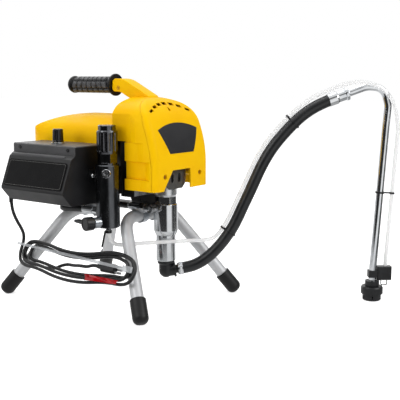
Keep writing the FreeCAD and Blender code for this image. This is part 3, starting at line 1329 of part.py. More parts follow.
def hank_wire():
    """Spiral in on the outer layer, climb, spiral out on the inner layer, then the plug's end."""
    right, left = HANK_Y
    half = HANK_STEP / 2
    outer = HANK_OFFSET + HANK_LAYER
    inner = HANK_OFFSET
    middle = (left + right) / 2
    lead = 2 * CORD_R

    start = hank_point(left + HANK_R, 0, outer)
    bottom = hank_point(left, -HANK_R, outer)
    bend = hank_point(left + HANK_R * math.sqrt(0.5), -HANK_R * math.sqrt(0.5), outer)
    curves = [Part.LineSegment(start + LEG_UP * lead, start), Part.Arc(start, bend, bottom)]

    def run(y0, w0, out0, y1, w1, out1):
        dip = hank_point(middle, min(w0, w1) - HANK_SAG, out0)
        curves.extend(s_bend(hank_point(y0, w0, out0), dip))
        curves.extend(s_bend(dip, hank_point(y1, w1, out1)))

    w = -HANK_R
    run(left, w, outer, right, w, outer)
    radius = HANK_R - half
    curves.append(half_turn(right, -half, radius, -1, outer, False))
    w = radius - half
    run(right, w, outer, left, w, outer)
    radius -= half
    curves.append(half_turn(left, 0, radius, 1, outer, True))
    w = -radius
    run(left, w, outer, right, w, outer)
    radius -= half
    curves.append(half_turn(right, -half, radius, -1, outer, False))
    w = radius - half
    run(right, w, outer, left, w, inner)
    radius -= half
    curves.append(half_turn(left, 0, radius, 1, inner, True))
    w = -radius
    run(left, w, inner, right, w, inner)
    radius += half
    curves.append(half_turn(right, half, radius, -1, inner, False))
    w = radius + half
    run(right, w, inner, left, w, inner)
    radius += half
    curves.append(half_turn(left, 0, radius, 1, inner, True))
    places = [hank_point(left, -radius, inner)] + [hank_point(*p) for p in TAIL]
    for here, there in zip(places, places[1:]):
        curves.extend(s_bend(here, there))
    curves.append(Part.LineSegment(places[-1], places[-1] - Y * lead))
    return Part.Wire([c.toShape() for c in curves])


# The plug's end of the cord, behind the lower runs and into the middle of the hank: y, w, out
TAIL = [(78, -25.5, 8.2), (22, -9.5, 8.2), (-24, -8.5, 17.5), (-58, -2.8, 19.5)]


def cord_hank():
    wire = hank_wire()
    solid = swept(wire, CORD_R)
    ideal = math.pi * CORD_R ** 2 * wire.Length
    print("cord_hank length", round(wire.Length, 1), "volume ratio",
          round(solid.Volume / ideal, 4), "least gap", round(least_gap(wire, CORD_R), 2))
    return solid


def least_gap(wire, radius):
    """Smallest clear distance between stretches of a wound cord, on points 3 mm apart."""
    step = 3.0
    points = wire.discretize(Distance=step)
    skip = int(6 * radius / step) + 1
    least = 1e9
    for i, here in enumerate(points):
        for there in points[i + skip:]:
            least = min(least, (here - there).Length)
    return least - 2 * radius


def drop_points():
    start = hank_point(HANK_Y[1] + HANK_R, 0, HANK_OFFSET + HANK_LAYER) + LEG_UP * (2 * CORD_R)
    return [GLAND, vec(-161, 157, 204), vec(-157, 158, 182), vec(-148, 158.5, 163),
            vec(-137, 159.5, 147), vec(-128, 160, 131), start + LEG_UP * 14, start]


def power_cord():
    return cord("power_cord", drop_points(), CORD_R)


def plug_base():
    y, w, out = TAIL[-1]
    return hank_point(y, w, out) - Y * (2 * CORD_R)


def power_plug():
    """Moulded plug with its strain relief and three pins."""
    base = plug_base()
    relief = turned([(0, 0), (4.5, 0), (6, 14), (0, 14)], base, Y * -1)
    body = block((-6.3, 6.3), (-46, -13), (-9.5, 9.5))
    body = rounded(body, 5.0, lambda c, e: abs(c.y + 29.5) < 0.1)
    pins = []
    for z in (-6, 0, 6):
        x = 0 if z else 2.5
        pins.append(rod(2.2, vec(x, -45, z), vec(x, -62, z)))
    body = joined(body, *pins)
    body.rotate(vec(0, 0, 0), Y, 25)
    body.translate(base)
    return joined(relief, body)


def cord_tag():
    """Flat red tag lying along the lower runs of the hank."""
    out = HANK_OFFSET + HANK_LAYER + CORD_R + FREE
    corners = [hank_point(-52, -41, out), hank_point(-132, -33.5, out),
               hank_point(-132, -20.5, out), hank_point(-52, -28, out)]
    return Part.Face(Part.makePolygon(corners + corners[:1])).extrude(LEG_OUT * 1.2)


# Ties

TIE_SPREAD = SUCTION_R + CLEAR_TUBE_R + 1.0
DROP_SPREAD = 25.0
WAY_UP = 1


def tie(centre, towards, across, radius, spread):
    """A cable tie round a tube at centre and the clear tube at its distance across."""
    on = towards * 1.8
    beside = centre + across * spread
    bridge = rod(1.6, centre + across * (radius + 0.8), beside - across * (CLEAR_TUBE_R + 0.8))
    band = pipe(radius + 1.6, radius + SNUG, centre - on, centre + on)
    ring = pipe(CLEAR_TUBE_R + 1.6, CLEAR_TUBE_R + SNUG, beside - on, beside + on)
    ring = ring.cut(rod(radius + SNUG, centre - on, centre + on))
    band = band.cut(rod(CLEAR_TUBE_R + SNUG, beside - on, beside + on))
    if spread > radius + CLEAR_TUBE_R + 3:
        return joined(band, bridge, ring)
    return joined(band, ring)


def tie_on(pairs, index, radius, spread, way):
    """A tie half along one run of a route in the suction plane, the clear tube on side way."""
    here, there = in_suction_plane(pairs[index:index + 2])
    middle = (here + there) * 0.5
    towards = (there - here).normalize()
    across = towards.cross(Z.cross(OUT)) * way
    return tie(middle, towards, across, radius, spread)


def return_clip():
    """Spring clip that hangs on the clear tube under the manifold."""
    low = MANIFOLD_Z[0] - 12
    ring = pipe(CLEAR_TUBE_R + 2.5, CLEAR_TUBE_R + SNUG, at_manifold(low), at_manifold(low + 5))
    wing = block((-4, 4), (CLEAR_TUBE_R + 1.5, CLEAR_TUBE_R + 5), (-30, 3))
    wing.rotate(vec(0, 0, 0), X, 12)
    wing.rotate(vec(0, 0, 0), Z, 45)
    wing.translate(at_manifold(low))
    return joined(ring, wing)


def cord_strap():
    """Clear strap over the hank, with its head at the right and its free end at the left."""
    out = HANK_OFFSET + HANK_LAYER + CORD_R + FREE
    band = [hank_point(172, 9, out), hank_point(-160, -3, out), hank_point(-160, 3, out),
            hank_point(172, 15, out)]
    strap = Part.Face(Part.makePolygon(band + band[:1])).extrude(LEG_OUT * 1.2)
    head = [hank_point(-138, -5.5, out + 1), hank_point(-161, -6, out + 1),
            hank_point(-161, 6, out + 1), hank_point(-138, 6.5, out + 1)]
    return strap.fuse(Part.Face(Part.makePolygon(head + head[:1])).extrude(LEG_OUT * 4))


def cable_ties():
    return grouped(tie_on(HOSE_ROUTE, 5, SUCTION_R, TIE_SPREAD, WAY_UP),
                   tie_on(HOSE_ROUTE, 11, SUCTION_R, TIE_SPREAD, WAY_UP),
                   tie_on(DROP_ROUTE, 5, DROP_R, DROP_SPREAD, WAY_UP), return_clip(),
                   cord_strap())


def rubber_feet():
    return grouped(*[rubber_foot(x, y) for x in (-1, 1) for y in (-1, 1)])


PARTS = {
    "front_leg_tube": lambda: leg_tube(-1), "rear_leg_tube": lambda: leg_tube(1),
    "rubber_feet": rubber_feet, "chassis_plate": chassis_plate, "rail_clamps": rail_clamps,
    "gear_housing": gear_housing, "bearing_housing": bearing_housing, "motor_can": motor_can,
    "motor_end_bell": motor_end_bell, "motor_rotor": motor_rotor, "cooling_fan": cooling_fan,
    "intermediate_gear": intermediate_gear, "output_crank": output_crank,
    "shaft_bearings": shaft_bearings, "yoke": yoke, "piston_rod": piston_rod,
    "pump_cylinder": pump_cylinder, "packing_nut": packing_nut, "foot_valve": foot_valve,
    "inlet_seat": inlet_seat, "inlet_ball": inlet_ball, "outlet_fitting": outlet_fitting,
    "suction_elbow": suction_elbow, "hose_clamp": hose_clamp, "suction_hose": suction_hose,
    "hose_sleeve": hose_sleeve, "drop_tube": drop_tube, "strainer": strainer,
    "tube_clip": tube_clip, "return_tube": return_tube, "cable_ties": cable_ties,
    "manifold_body": manifold_body, "filter_cap": filter_cap, "filter_element": filter_element,
    "manifold_plug": manifold_plug, "prime_valve_body": prime_valve_body,
    "prime_knob": prime_knob, "spray_outlet": spray_outlet,
    "high_pressure_hose": high_pressure_hose, "hose_ferrules": hose_ferrules,
    "control_box": control_box, "control_panel": control_panel, "pressure_knob": pressure_knob,
    "knob_ring": knob_ring, "power_switch": power_switch, "switch_lever": switch_lever,
    "circuit_board": circuit_board, "cord_gland": cord_gland, "power_cord": power_cord,
    "cord_hank": cord_hank, "power_plug": power_plug, "cord_tag": cord_tag,
    "mid_housing": mid_housing, "front_cover": front_cover, "badge_plate": badge_plate,
    "rear_shroud": rear_shroud, "cover_screws": cover_screws, "pump_guard": pump_guard,
    "handle_arm": handle_arm, "handle_grip": handle_grip,
}


for name, make in PARTS.items():
    shape = make()
    shape.translate(ORIGIN * -1)
    shape.exportStep("parts/" + name + ".step")
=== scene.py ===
# Airless paint sprayer: cords, finishes, trim and studio round the CAD nodes of the frame

import math

import bmesh
import bpy
from mathutils import Matrix, Vector


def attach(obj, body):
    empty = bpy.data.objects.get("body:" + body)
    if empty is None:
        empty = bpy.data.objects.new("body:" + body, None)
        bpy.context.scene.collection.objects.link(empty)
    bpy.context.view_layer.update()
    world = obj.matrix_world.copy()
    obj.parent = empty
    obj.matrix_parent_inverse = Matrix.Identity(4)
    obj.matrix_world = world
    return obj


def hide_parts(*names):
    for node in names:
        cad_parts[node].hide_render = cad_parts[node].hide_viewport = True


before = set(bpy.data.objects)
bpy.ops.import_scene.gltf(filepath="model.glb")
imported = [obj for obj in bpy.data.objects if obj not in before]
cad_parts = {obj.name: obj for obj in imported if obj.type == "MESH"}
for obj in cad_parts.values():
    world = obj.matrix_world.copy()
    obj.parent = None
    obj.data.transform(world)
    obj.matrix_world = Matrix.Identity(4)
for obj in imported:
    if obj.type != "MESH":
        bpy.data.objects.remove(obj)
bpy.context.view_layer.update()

# The drawing is in mm from the middle of the four feet, on the floor; ORIGIN is the point under
# the middle of the whole machine, which is the part's own origin
MM = 0.001
ORIGIN = Vector((57.0, -143.0, 0.0))
PUMP_Y = -127.0
# Where a leg's tube ends, and where it meets its rail, on the side of +X and +Y
LEG_FOOT = (151.0, 190.0, 12.0)
LEG_TOP = (69.8, 78.6, 180.0)
SUCTION_ANGLE = math.radians(-50.0)
SUCTION_OUT = Vector((math.cos(SUCTION_ANGLE), math.sin(SUCTION_ANGLE), 0.0))
SUCTION_SIDE = SUCTION_OUT.cross(Vector((0.0, 0.0, 1.0)))

# Flexible pieces: outside radii
HOSE_R = 12.0
CLEAR_TUBE_R = 4.0
PRESSURE_HOSE_R = 6.5
CORD_R = 3.4


def place(x, y, z):
    """A point of the drawing as metres in the part's frame."""
    return (Vector((x, y, z)) - ORIGIN) * MM


def suction_point(out, z, aside=0.0):
    """A point of the upright plane that the suction hose hangs in."""
    point = Vector((0.0, PUMP_Y, z)) + SUCTION_OUT * out + SUCTION_SIDE * aside
    return (point - ORIGIN) * MM


# Camera: a long lens a little above the handle, looking 8.66 degrees down

LENS = 73.76
EYE = Vector((-1.3190, -1.0355, 0.4628))
HEADING = (0.7946, 0.6070)
DOWN = math.radians(8.66)
LOOK = Vector((HEADING[0] * math.cos(DOWN), HEADING[1] * math.cos(DOWN), -math.sin(DOWN)))


def make_camera():
    data = bpy.data.cameras.new("camera")
    data.lens = LENS
    data.sensor_width = 36.0
    data.clip_start = 0.05
    camera = bpy.data.objects.new("camera", data)
    camera.location = EYE
    camera.rotation_euler = LOOK.to_track_quat("-Z", "Y").to_euler()
    bpy.context.scene.collection.objects.link(camera)
    bpy.context.scene.camera = camera


# Nodes and materials

# Nearly all values of a noise, and of the sum of two, lie between these
NOISE_SPREAD = (0.36, 0.64)
SUM_SPREAD = (0.7, 1.3)
# Share of a clear wall's turning away from the eye over which it goes from middle to rim colour,
# the rim's grey being painted shade
RIM_SHADE_SPREAD = (0.45, 0.9)
# Clear pieces are drawn solid, and a low index keeps them from bending light like a glass rod
CLEAR_INDEX = 1.05


def linear(code):
    """An sRGB hex colour as the linear colour that a shader takes."""
    parts = [int(code[n:n + 2], 16) / 255 for n in (0, 2, 4)]
    return (*[c / 12.92 if c <= 0.04045 else ((c + 0.055) / 1.055) ** 2.4 for c in parts], 1.0)


def add(tree, kind, inputs=None, **settings):
    """Adds one node: its settings, then its inputs, each a value or another node's socket."""
    made = tree.nodes.new(kind)
    for name, value in settings.items():
        setattr(made, name, value)
    for name, value in (inputs or {}).items():
        if isinstance(value, bpy.types.NodeSocket):
            tree.links.new(value, made.inputs[name])
        else:
            made.inputs[name].default_value = value
    return made


def blank(name):
    """A new material with only its output: its tree, the output and Object coordinates."""
    material = bpy.data.materials.new(name)
    material.use_nodes = True
    tree = material.node_tree
    tree.nodes.clear()
    output = add(tree, "ShaderNodeOutputMaterial")
    where = add(tree, "ShaderNodeTexCoord").outputs["Object"]
    return material, tree, output, where


def surface(name, light, dark, patch, rough, grain, relief, stretch=(1, 1, 1), edge=0.5,
            **constants):
    """A finish whose tone drifts between two colours over patches, with a fine relief.

    patch, grain, relief and edge (the rounding that light sees on an edge) are in mm; rough is
    the lowest and highest roughness; constants are further inputs of the shader.
    """
    material, tree, output, where = blank(name)
    wide = add(tree, "ShaderNodeMapping", {"Vector": where, "Scale": stretch})
    drift = add(tree, "ShaderNodeTexNoise", {"Vector": wide.outputs[0], "Scale": 1000 / patch,
                                             "Detail": 3.0, "Roughness": 0.55})
    fine = add(tree, "ShaderNodeTexNoise", {"Vector": wide.outputs[0], "Scale": 1000 / grain,
                                            "Detail": 2.0, "Roughness": 0.6})
    tone = add(tree, "ShaderNodeValToRGB", {"Fac": drift.outputs["Fac"]})
    for stop, position, code in zip(tone.color_ramp.elements, NOISE_SPREAD, (dark, light)):
        stop.position = position
        stop.color = linear(code)
    both = add(tree, "ShaderNodeMath", {0: drift.outputs["Fac"], 1: fine.outputs["Fac"]},
               operation="ADD")
    gloss = add(tree, "ShaderNodeMapRange", {
        "Value": both.outputs[0], "From Min": SUM_SPREAD[0], "From Max": SUM_SPREAD[1],
        "To Min": rough[0], "To Max": rough[1]})
    rounded = add(tree, "ShaderNodeBevel", {"Radius": edge * MM}, samples=4)
    bump = add(tree, "ShaderNodeBump", {"Height": fine.outputs["Fac"], "Distance": relief * MM,
                                        "Strength": 1.0, "Normal": rounded.outputs[0]})
    shader = add(tree, "ShaderNodeBsdfPrincipled", {
        "Base Color": tone.outputs["Color"], "Roughness": gloss.outputs["Result"],
        "Normal": bump.outputs["Normal"], **constants})
    tree.links.new(shader.outputs[0], output.inputs["Surface"])
    return material


# Injection-moulded ABS, polished mould: an even warm yellow with a soft, slightly wavy gloss
yellow_abs = surface("moulded_abs_yellow", "FFC800", "FBBF00", 90, (0.34, 0.46), 3.0, 0.012,
                     edge=2.2, **{"Specular IOR Level": 0.07})
# Moulded ABS with a spark-eroded grain; real grain is 0.2 mm, drawn at 1 mm so that it shows
black_abs = surface("grained_abs_black", "1B1B1D", "141416", 45, (0.36, 0.5), 1.0, 0.04,
                    edge=0.9, **{"Specular IOR Level": 0.4})
# The same ABS in dark grey, for the lid and its rolled lip; on the lip the grey is painted
# highlight, the light from above along it
lid_grey_and_lip_highlight = surface("grained_abs_grey", "434345", "3A3A3C", 45, (0.36, 0.5), 1.0, 0.04, edge=0.9,
                   **{"Specular IOR Level": 0.5})
# Polyester film label stock: near black and glossy, with a faint waviness from the glue
gloss_film = surface("laminated_film_black", "111112", "0C0C0D", 30, (0.14, 0.22), 9.0, 0.01,
                     edge=0.3, **{"Specular IOR Level": 0.1})
# Screen-printed film left blank: the same stock in dark grey, a little duller
grey_film = surface("laminated_film_grey", "2E2E30", "2A2A2C", 30, (0.36, 0.42), 12.0, 0.002,
                    edge=0.3, **{"Specular IOR Level": 0.3})
# Glass-filled nylon: elbow, strainer, clips, ties and gland, dull with a fine mottled skin
nylon = surface("moulded_nylon_black", "1A1B1D", "121315", 14, (0.3, 0.44), 1.2, 0.03, edge=0.6,
                **{"Specular IOR Level": 0.4})
# Knob and lid plugs: the same nylon from a polished mould, deep black with clean reflections
gloss_nylon = surface("polished_nylon_black", "0D0E11", "08090C", 20, (0.16, 0.26), 2.0, 0.01,
                      edge=0.6)
# The same nylon dyed grey, for the guard over the piston and the bead round the panel
grey_nylon = surface("moulded_nylon_grey", "504F4D", "434240", 18, (0.36, 0.5), 1.2, 0.03,
                     edge=0.8, **{"Specular IOR Level": 0.4})
# Vulcanised rubber from a ground mould: matt black, greyer where it has bloomed
rubber = surface("moulded_rubber_black", "141415", "0C0C0D", 22, (0.38, 0.52), 1.4, 0.04,
                 edge=0.8, **{"Specular IOR Level": 0.32})
# Grip cushion: a softer, greyer rubber on the blocks' tops, in uneven patches; their grey against
# the black barrel and grooves is partly the rubber's own and partly painted highlight where the
# tops catch the light
grip_grey_and_highlight = surface("cushion_rubber_grey_and_highlight", "555557", "38383A", 9, (0.42, 0.56), 1.2, 0.05,
                      edge=0.7)
# Extruded rubber hose cover: black, with a soft sheen along it
hose_rubber = surface("extruded_rubber_cover", "17191B", "101214", 30, (0.3, 0.42), 2.2, 0.03,
                      **{"Specular IOR Level": 0.5})
# Plasticised PVC sheath: smoother than rubber, with a soft highlight along the cord
cord_pvc = surface("extruded_pvc_black", "131315", "0B0B0D", 26, (0.26, 0.36), 3.0, 0.015)
# Polyester powder coat over steel tube: pale silver with a slight orange peel
silver_powder = surface("powder_coated_silver", "D2D3D5", "C5C6C8", 60, (0.38, 0.48), 2.6, 0.03,
                        Metallic=0.3)
# Powder-coated steel plate in satin black
black_powder = surface("powder_coated_black", "1B1B1C", "121213", 40, (0.35, 0.45), 1.6, 0.03)
# Zinc-plated and clear-passivated steel: bluish grey with cloudy patches
zinc = surface("zinc_plated_steel", "B9BDC2", "9EA3A8", 9, (0.26, 0.42), 1.2, 0.01, Metallic=1.0)
# Pressure die-cast aluminium, tumbled: pale grey with a fine sandy skin
cast_aluminium = surface("die_cast_aluminium", "D6D8D9", "BEC0C2", 12, (0.24, 0.38), 1.3, 0.03,
                         edge=1.0, Metallic=0.9)
# Die-cast gearbox under black enamel: an uneven skin with a soft shine
black_casting = surface("enamelled_casting_black", "1C1C1D", "121213", 16, (0.34, 0.48), 1.6,
                        0.07, edge=1.2)
# Turned steel: small parts, gears and shafts, with short machining marks
bright_steel = surface("turned_steel", "C8C9CB", "A9ABAE", 7, (0.16, 0.3), 0.9, 0.006,
                       Metallic=1.0)
# Lathe-turned steel, polished: long even reflections, and a tone that barely drifts
polished_steel = surface("lathe_turned_steel", "D4D6D8", "CACDCF", 24, (0.12, 0.16), 1.0,
                         0.0006, stretch=(0.2, 0.2, 1.0), edge=0.4, Metallic=1.0)
# Decorative chrome over nickel: mirror-like, with the faint waviness of the buffed tube
chrome = surface("chrome_plated_steel", "E2E4E6", "D2D5D8", 28, (0.06, 0.12), 14.0, 0.01,
                 Metallic=1.0)
# Hard anodised aluminium, turned and dyed black: satin with streaks down the barrel
black_anodised = surface("anodised_aluminium_black", "5B5D60", "4C4E51", 8, (0.18, 0.28), 1.6,
                         0.01, stretch=(1.0, 1.0, 0.25), edge=0.7, Metallic=1.0)
# The filter cap: the same alloy, polished before dyeing, so glossier
gloss_anodised = surface("polished_anodised_black", "6A6B6E", "56575A", 8, (0.1, 0.17), 2.0,
                         0.01, edge=0.9, Metallic=1.0)
# Chemically blackened steel: dark grey, with the metal's sheen coming through
black_oxide = surface("blackened_steel", "5A5856", "454342", 6, (0.24, 0.38), 1.0, 0.01,
                      Metallic=1.0)
# Screw heads in deep amber: painted shade, standing in for the shaded yellow walls of the wells
# they sit in
well_shade_amber = surface("screw_painted_well_shade", "B5791A", "955F10", 4, (0.35, 0.5), 0.8, 0.01,
                      Metallic=0.3)
# Glossy plasticised PVC: deep red, with highlights along its waves
red_pvc = surface("glossy_pvc_red", "B80A14", "8E0610", 16, (0.12, 0.18), 5.0, 0.04,
                  **{"Specular IOR Level": 0.35})
# Circuit board under green solder mask: smooth and glossy
board_green = surface("solder_mask_green", "1E6B3A", "15562E", 5, (0.2, 0.32), 1.2, 0.02)


def clear_plastic(name, middle, rim, through, roughness):
    """Clear flexible plastic: faintly milky, with painted shade greying its rim where the wall is
    seen edge on.

    through is the share of light that passes; the roughness varies by 0.1 over 6.25 mm waves.
    """
    material, tree, output, where = blank(name)
    waves = add(tree, "ShaderNodeTexNoise", {"Vector": where, "Scale": 1000 / 6.25,
                                             "Detail": 2.0})
    gloss = add(tree, "ShaderNodeMapRange", {"Value": waves.outputs["Fac"],
                                             "To Min": roughness, "To Max": roughness + 0.1})
    edge_on = add(tree, "ShaderNodeLayerWeight", {"Blend": 0.5})
    milk_and_rim_shade = add(tree, "ShaderNodeValToRGB", {"Fac": edge_on.outputs["Facing"]})
    for stop, position, code in zip(milk_and_rim_shade.color_ramp.elements, RIM_SHADE_SPREAD, (middle, rim)):
        stop.position = position
        stop.color = linear(code)
    shader = add(tree, "ShaderNodeBsdfPrincipled", {
        "Base Color": milk_and_rim_shade.outputs["Color"], "Roughness": gloss.outputs["Result"],
        "IOR": CLEAR_INDEX, "Transmission Weight": through})
    tree.links.new(shader.outputs[0], output.inputs["Surface"])
    return material


# Clear plasticised PVC tube, gone slightly milky, its grey rim painted shade
clear_tube = clear_plastic("clear_pvc_tube", "FFFFFF", "C9CDD1", 0.5, 0.05)
# Clear nylon strap: thin and flat, so it looks pale grey against white, its greyer rim painted
# shade
clear_strap = clear_plastic("clear_nylon_strap", "E6E8EA", "AEB3B7", 0.72, 0.08)


def woven_wire(name, pitch):
    """Stainless wire cloth round the filter core: two sets of wires, pitch in mm."""
    material, tree, output, where = blank(name)
    heights = []
    for direction in ("Z", "X"):
        wires = add(tree, "ShaderNodeTexWave", {"Vector": where, "Scale": 100 * math.pi / pitch},
                    wave_type="BANDS", bands_direction=direction)
        heights.append(wires.outputs["Fac"])
    cloth = add(tree, "ShaderNodeMath", {0: heights[0], 1: heights[1]}, operation="MAXIMUM")
    tone = add(tree, "ShaderNodeValToRGB", {"Fac": cloth.outputs[0]})
    tone.color_ramp.elements[0].color = linear("3A3C3E")
    tone.color_ramp.elements[1].color = linear("C4C6C8")
    bump = add(tree, "ShaderNodeBump", {"Height": cloth.outputs[0], "Distance": 0.3 * MM})
    shader = add(tree, "ShaderNodeBsdfPrincipled", {
        "Base Color": tone.outputs["Color"], "Normal": bump.outputs["Normal"],
        "Roughness": 0.3, "Metallic": 1.0})
    tree.links.new(shader.outputs[0], output.inputs["Surface"])
    return material


# Stainless wire cloth; a 60-mesh cloth is too fine to show, so its pitch is drawn at 2 mm
wire_cloth = woven_wire("woven_wire_cloth", 1.973)


# Finishes of the nodes that keep their own solids

FINISHES = {
    yellow_abs: ("front_cover", "mid_housing", "rear_shroud"),
    black_abs: ("control_box",),
    gloss_film: ("control_panel",),
    grey_film: ("badge_plate",),
    nylon: ("suction_elbow", "strainer", "tube_clip", "cable_ties", "power_switch",
            "cord_gland", "cooling_fan", "prime_knob"),
    gloss_nylon: ("pressure_knob",),
    grey_nylon: ("pump_guard",),
    cord_pvc: ("power_plug",),
    silver_powder: ("front_leg_tube", "rear_leg_tube"),
    black_powder: ("chassis_plate", "motor_can"),
    zinc: ("rail_clamps", "prime_valve_body", "spray_outlet"),
    cast_aluminium: ("bearing_housing", "motor_end_bell"),
    black_casting: ("gear_housing",),
    bright_steel: ("motor_rotor", "intermediate_gear", "output_crank", "shaft_bearings", "yoke",
                   "inlet_seat", "manifold_plug", "packing_nut"),
    polished_steel: ("foot_valve", "pump_cylinder"),
    chrome: ("drop_tube", "hose_sleeve", "hose_clamp", "piston_rod", "inlet_ball",
             "hose_ferrules", "switch_lever", "knob_ring"),
    black_anodised: ("manifold_body",),
    gloss_anodised: ("filter_cap",),
    black_oxide: ("outlet_fitting",),
    # The screws' amber is painted shade of their wells
    well_shade_amber: ("cover_screws",),
    board_green: ("circuit_board",),
    wire_cloth: ("filter_element",),
}


def finish_nodes():
    for finish, names in FINISHES.items():
        for name in names:
            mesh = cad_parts[name].data
            mesh.materials.clear()
            mesh.materials.append(finish)


def second_finish(mesh, finish, chosen):
    """Gives the faces of a mesh that chosen picks, by their centres in mm, a second finish."""
    mesh.materials.append(finish)
    index = len(mesh.materials) - 1
    for face in mesh.polygons:
        if chosen(face.center / MM + ORIGIN):
            face.material_index = index


# Pieces

def linked(name, data):
    """A new object in the scene, at the origin."""
    made = bpy.data.objects.new(name, data)
    bpy.context.scene.collection.objects.link(made)
    return made


def mesh_of(form, name):
    """The mesh of a bmesh, which is freed."""
    mesh = bpy.data.meshes.new(name)
    form.to_mesh(mesh)
    form.free()
    return mesh


def evaluated(holder):
    """The mesh that an object shows by its curve or its modifiers; the object is removed."""
    bpy.context.view_layer.update()
    seen = holder.evaluated_get(bpy.context.evaluated_depsgraph_get())
    mesh = bpy.data.meshes.new_from_object(seen)
    bpy.data.objects.remove(holder)
    return mesh


def smooth(mesh, angle=40.0):
    """Smooth shading that keeps edges sharper than angle degrees."""
    mesh.polygons.foreach_set("use_smooth", [True] * len(mesh.polygons))
    mesh.set_sharp_from_angle(angle=math.radians(angle))
    mesh.update()
    return mesh


def dress(piece, finish, stands_for=()):
    """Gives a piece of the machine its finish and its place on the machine."""
    piece.data.materials.clear()
    piece.data.materials.append(finish)
    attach(piece, "machine")
    if stands_for:
        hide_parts(*stands_for)
    return piece


def round_line(name, kind, points, radius, roundness):
    """A curve with one spline of a kind along points, closed at its ends, with a round section."""
    line = bpy.data.curves.new(name, "CURVE")
    line.dimensions = "3D"
    spline = line.splines.new(kind)
    spline.points.add(len(points) - 1)
    for knot, point in zip(spline.points, points):
        knot.co = (*point, 1.0)
    line.bevel_depth = radius * MM
    line.bevel_resolution = roundness
    line.use_fill_caps = True
    return line


def flexible(name, points, radius):
    """One smooth line along a route's corners, which it rounds off."""
    line = round_line(name, "NURBS", points, radius, 5)
    spline = line.splines[0]
    spline.order_u = 3
    spline.use_endpoint_u = True
    spline.resolution_u = 10
    return linked(name, line)


# Suction hose and the clear return tube tied beside it

HOSE_ROUTE = [(23.8, 70.35), (45.55, 73.4), (66.5, 81), (86.5, 94.5), (104.5, 112), (121, 132),
              (139.5, 160), (156, 197), (174, 236), (193, 280), (214, 317), (242, 351),
              (275, 384), (312, 407), (344, 418.5)]
TIE_SPREAD = 17.0


def beside(pairs, spread):
    """Inner corners of a route drawn beside another, at its distance spread on the upper side."""
    corners = []
    for before, here, after in zip(pairs, pairs[1:], pairs[2:]):
        first = math.atan2(here[1] - before[1], here[0] - before[0])
        second = math.atan2(after[1] - here[1], after[0] - here[0])
        away = (first + second) / 2 + math.pi / 2
        reach = spread / math.cos((second - first) / 2)
        corners.append((here[0] + reach * math.cos(away), here[1] + reach * math.sin(away)))
    return corners


def suction_hose():
    points = [suction_point(*pair) for pair in HOSE_ROUTE]
    hose = flexible("hose", points, HOSE_R)
    dress(hose, hose_rubber, ["suction_hose"])


def return_tube():
    points = [place(-108, -70, 160.8), place(-108, -70, 147.5), place(-102.4, -74.5, 135.1),
              place(-92.7, -82.2, 128.6), place(-54, -113, 131), place(-18, -147, 132),
              place(22, -181, 132.5), suction_point(84, 130, 4), suction_point(104, 137.1)]
    points += [suction_point(*pair) for pair in beside(HOSE_ROUTE[5:14], TIE_SPREAD)]
    points += [suction_point(out, z, lift) for out, z, lift in
               ((303.5, 424, 0), (337, 437, 0), (364, 447, 6), (393, 451, 13), (430, 440, 17),
                (458, 410, 15), (469.6, 360, 6), (469.4, 330, 1), (467.6, 300, 0),
                (464.1, 240, 0), (460.4, 180, 0), (456.9, 120, 0), (454, 72, 0), (454, 44, 0))]
    tube = flexible("clear_return_tube", points, CLEAR_TUBE_R)
    dress(tube, clear_tube, ["return_tube"])


def pressure_hose():
    points = [place(-108, -19, 196), place(-108, 6, 196), place(-108, 74, 190.5),
              place(-58, 71, 199), place(-45, -12, 204), place(-44.7, -51, 201.5),
              place(-44.7, -75, 201.5)]
    hose = flexible("pump_to_manifold_hose", points, PRESSURE_HOSE_R)
    dress(hose, hose_rubber, ["high_pressure_hose"])


# Mains cord: down from the gland, then three loose turns tied in front of the left legs

GLAND_END = place(-161, 157, 226)
# The hank's directions follow the slope of the left legs; its middle is this far above their ends
HANK_RISE = 74.0
HANK_UP = Vector((LEG_FOOT[0] - LEG_TOP[0], 0.0, LEG_TOP[2] - LEG_FOOT[2])).normalized()
HANK_OUT = Vector((-HANK_UP.z, 0.0, HANK_UP.x))
HANK_MIDDLE = Vector((-LEG_FOOT[0], 0.0, LEG_FOOT[2])) + HANK_UP * (HANK_RISE / HANK_UP.z)
# Out from the legs: the two layers of turns
OUTER = 23.7
INNER = 16.3
# Corners of a run stay this far from its ends and its middle
RUN_END = 33.0
# Share of a run's lift that its two middle corners take
INNER_LIFT = 0.4
# A half turn's corners stand on half an octagon
OCTAGON_REACH = math.tan(math.pi / 8)


def hank_point(y, w, out):
    """A point of the hank: y along it, w up the legs' slope, out from it."""
    point = HANK_MIDDLE + Vector((0.0, y, 0.0)) + HANK_UP * w + HANK_OUT * out
    return (point - ORIGIN) * MM


def half_turn(y, w, radius, side, out, from_top):
    """Corners round half a turn at one end of the hank, which the smooth line rounds off."""
    reach = radius * OCTAGON_REACH
    corners = [(y + side * reach, w + radius), (y + side * radius, w + reach),
               (y + side * radius, w - reach), (y + side * reach, w - radius)]
    if not from_top:
        corners.reverse()
    return [hank_point(a, b, out) for a, b in corners]


def sagging_run(y0, w0, out0, y1, w1, out1, sag, lift=0.0):
    """A run of the hank that hangs by sag in its middle, its right part raised by lift."""
    low = min(w0, w1) - sag
    way = 1 if y1 > y0 else -1
    middle = (y0 + y1) / 2
    rises = [lift if way < 0 else 0.0, lift if way > 0 else 0.0]
    return [hank_point(y0 + way * RUN_END, w0 + rises[1], out0),
            hank_point(middle - way * RUN_END, low + INNER_LIFT * rises[1], out0),
            hank_point(middle + way * RUN_END, low + INNER_LIFT * rises[0], out0),
            hank_point(y1 - way * RUN_END, w1 + rises[0], out1)]


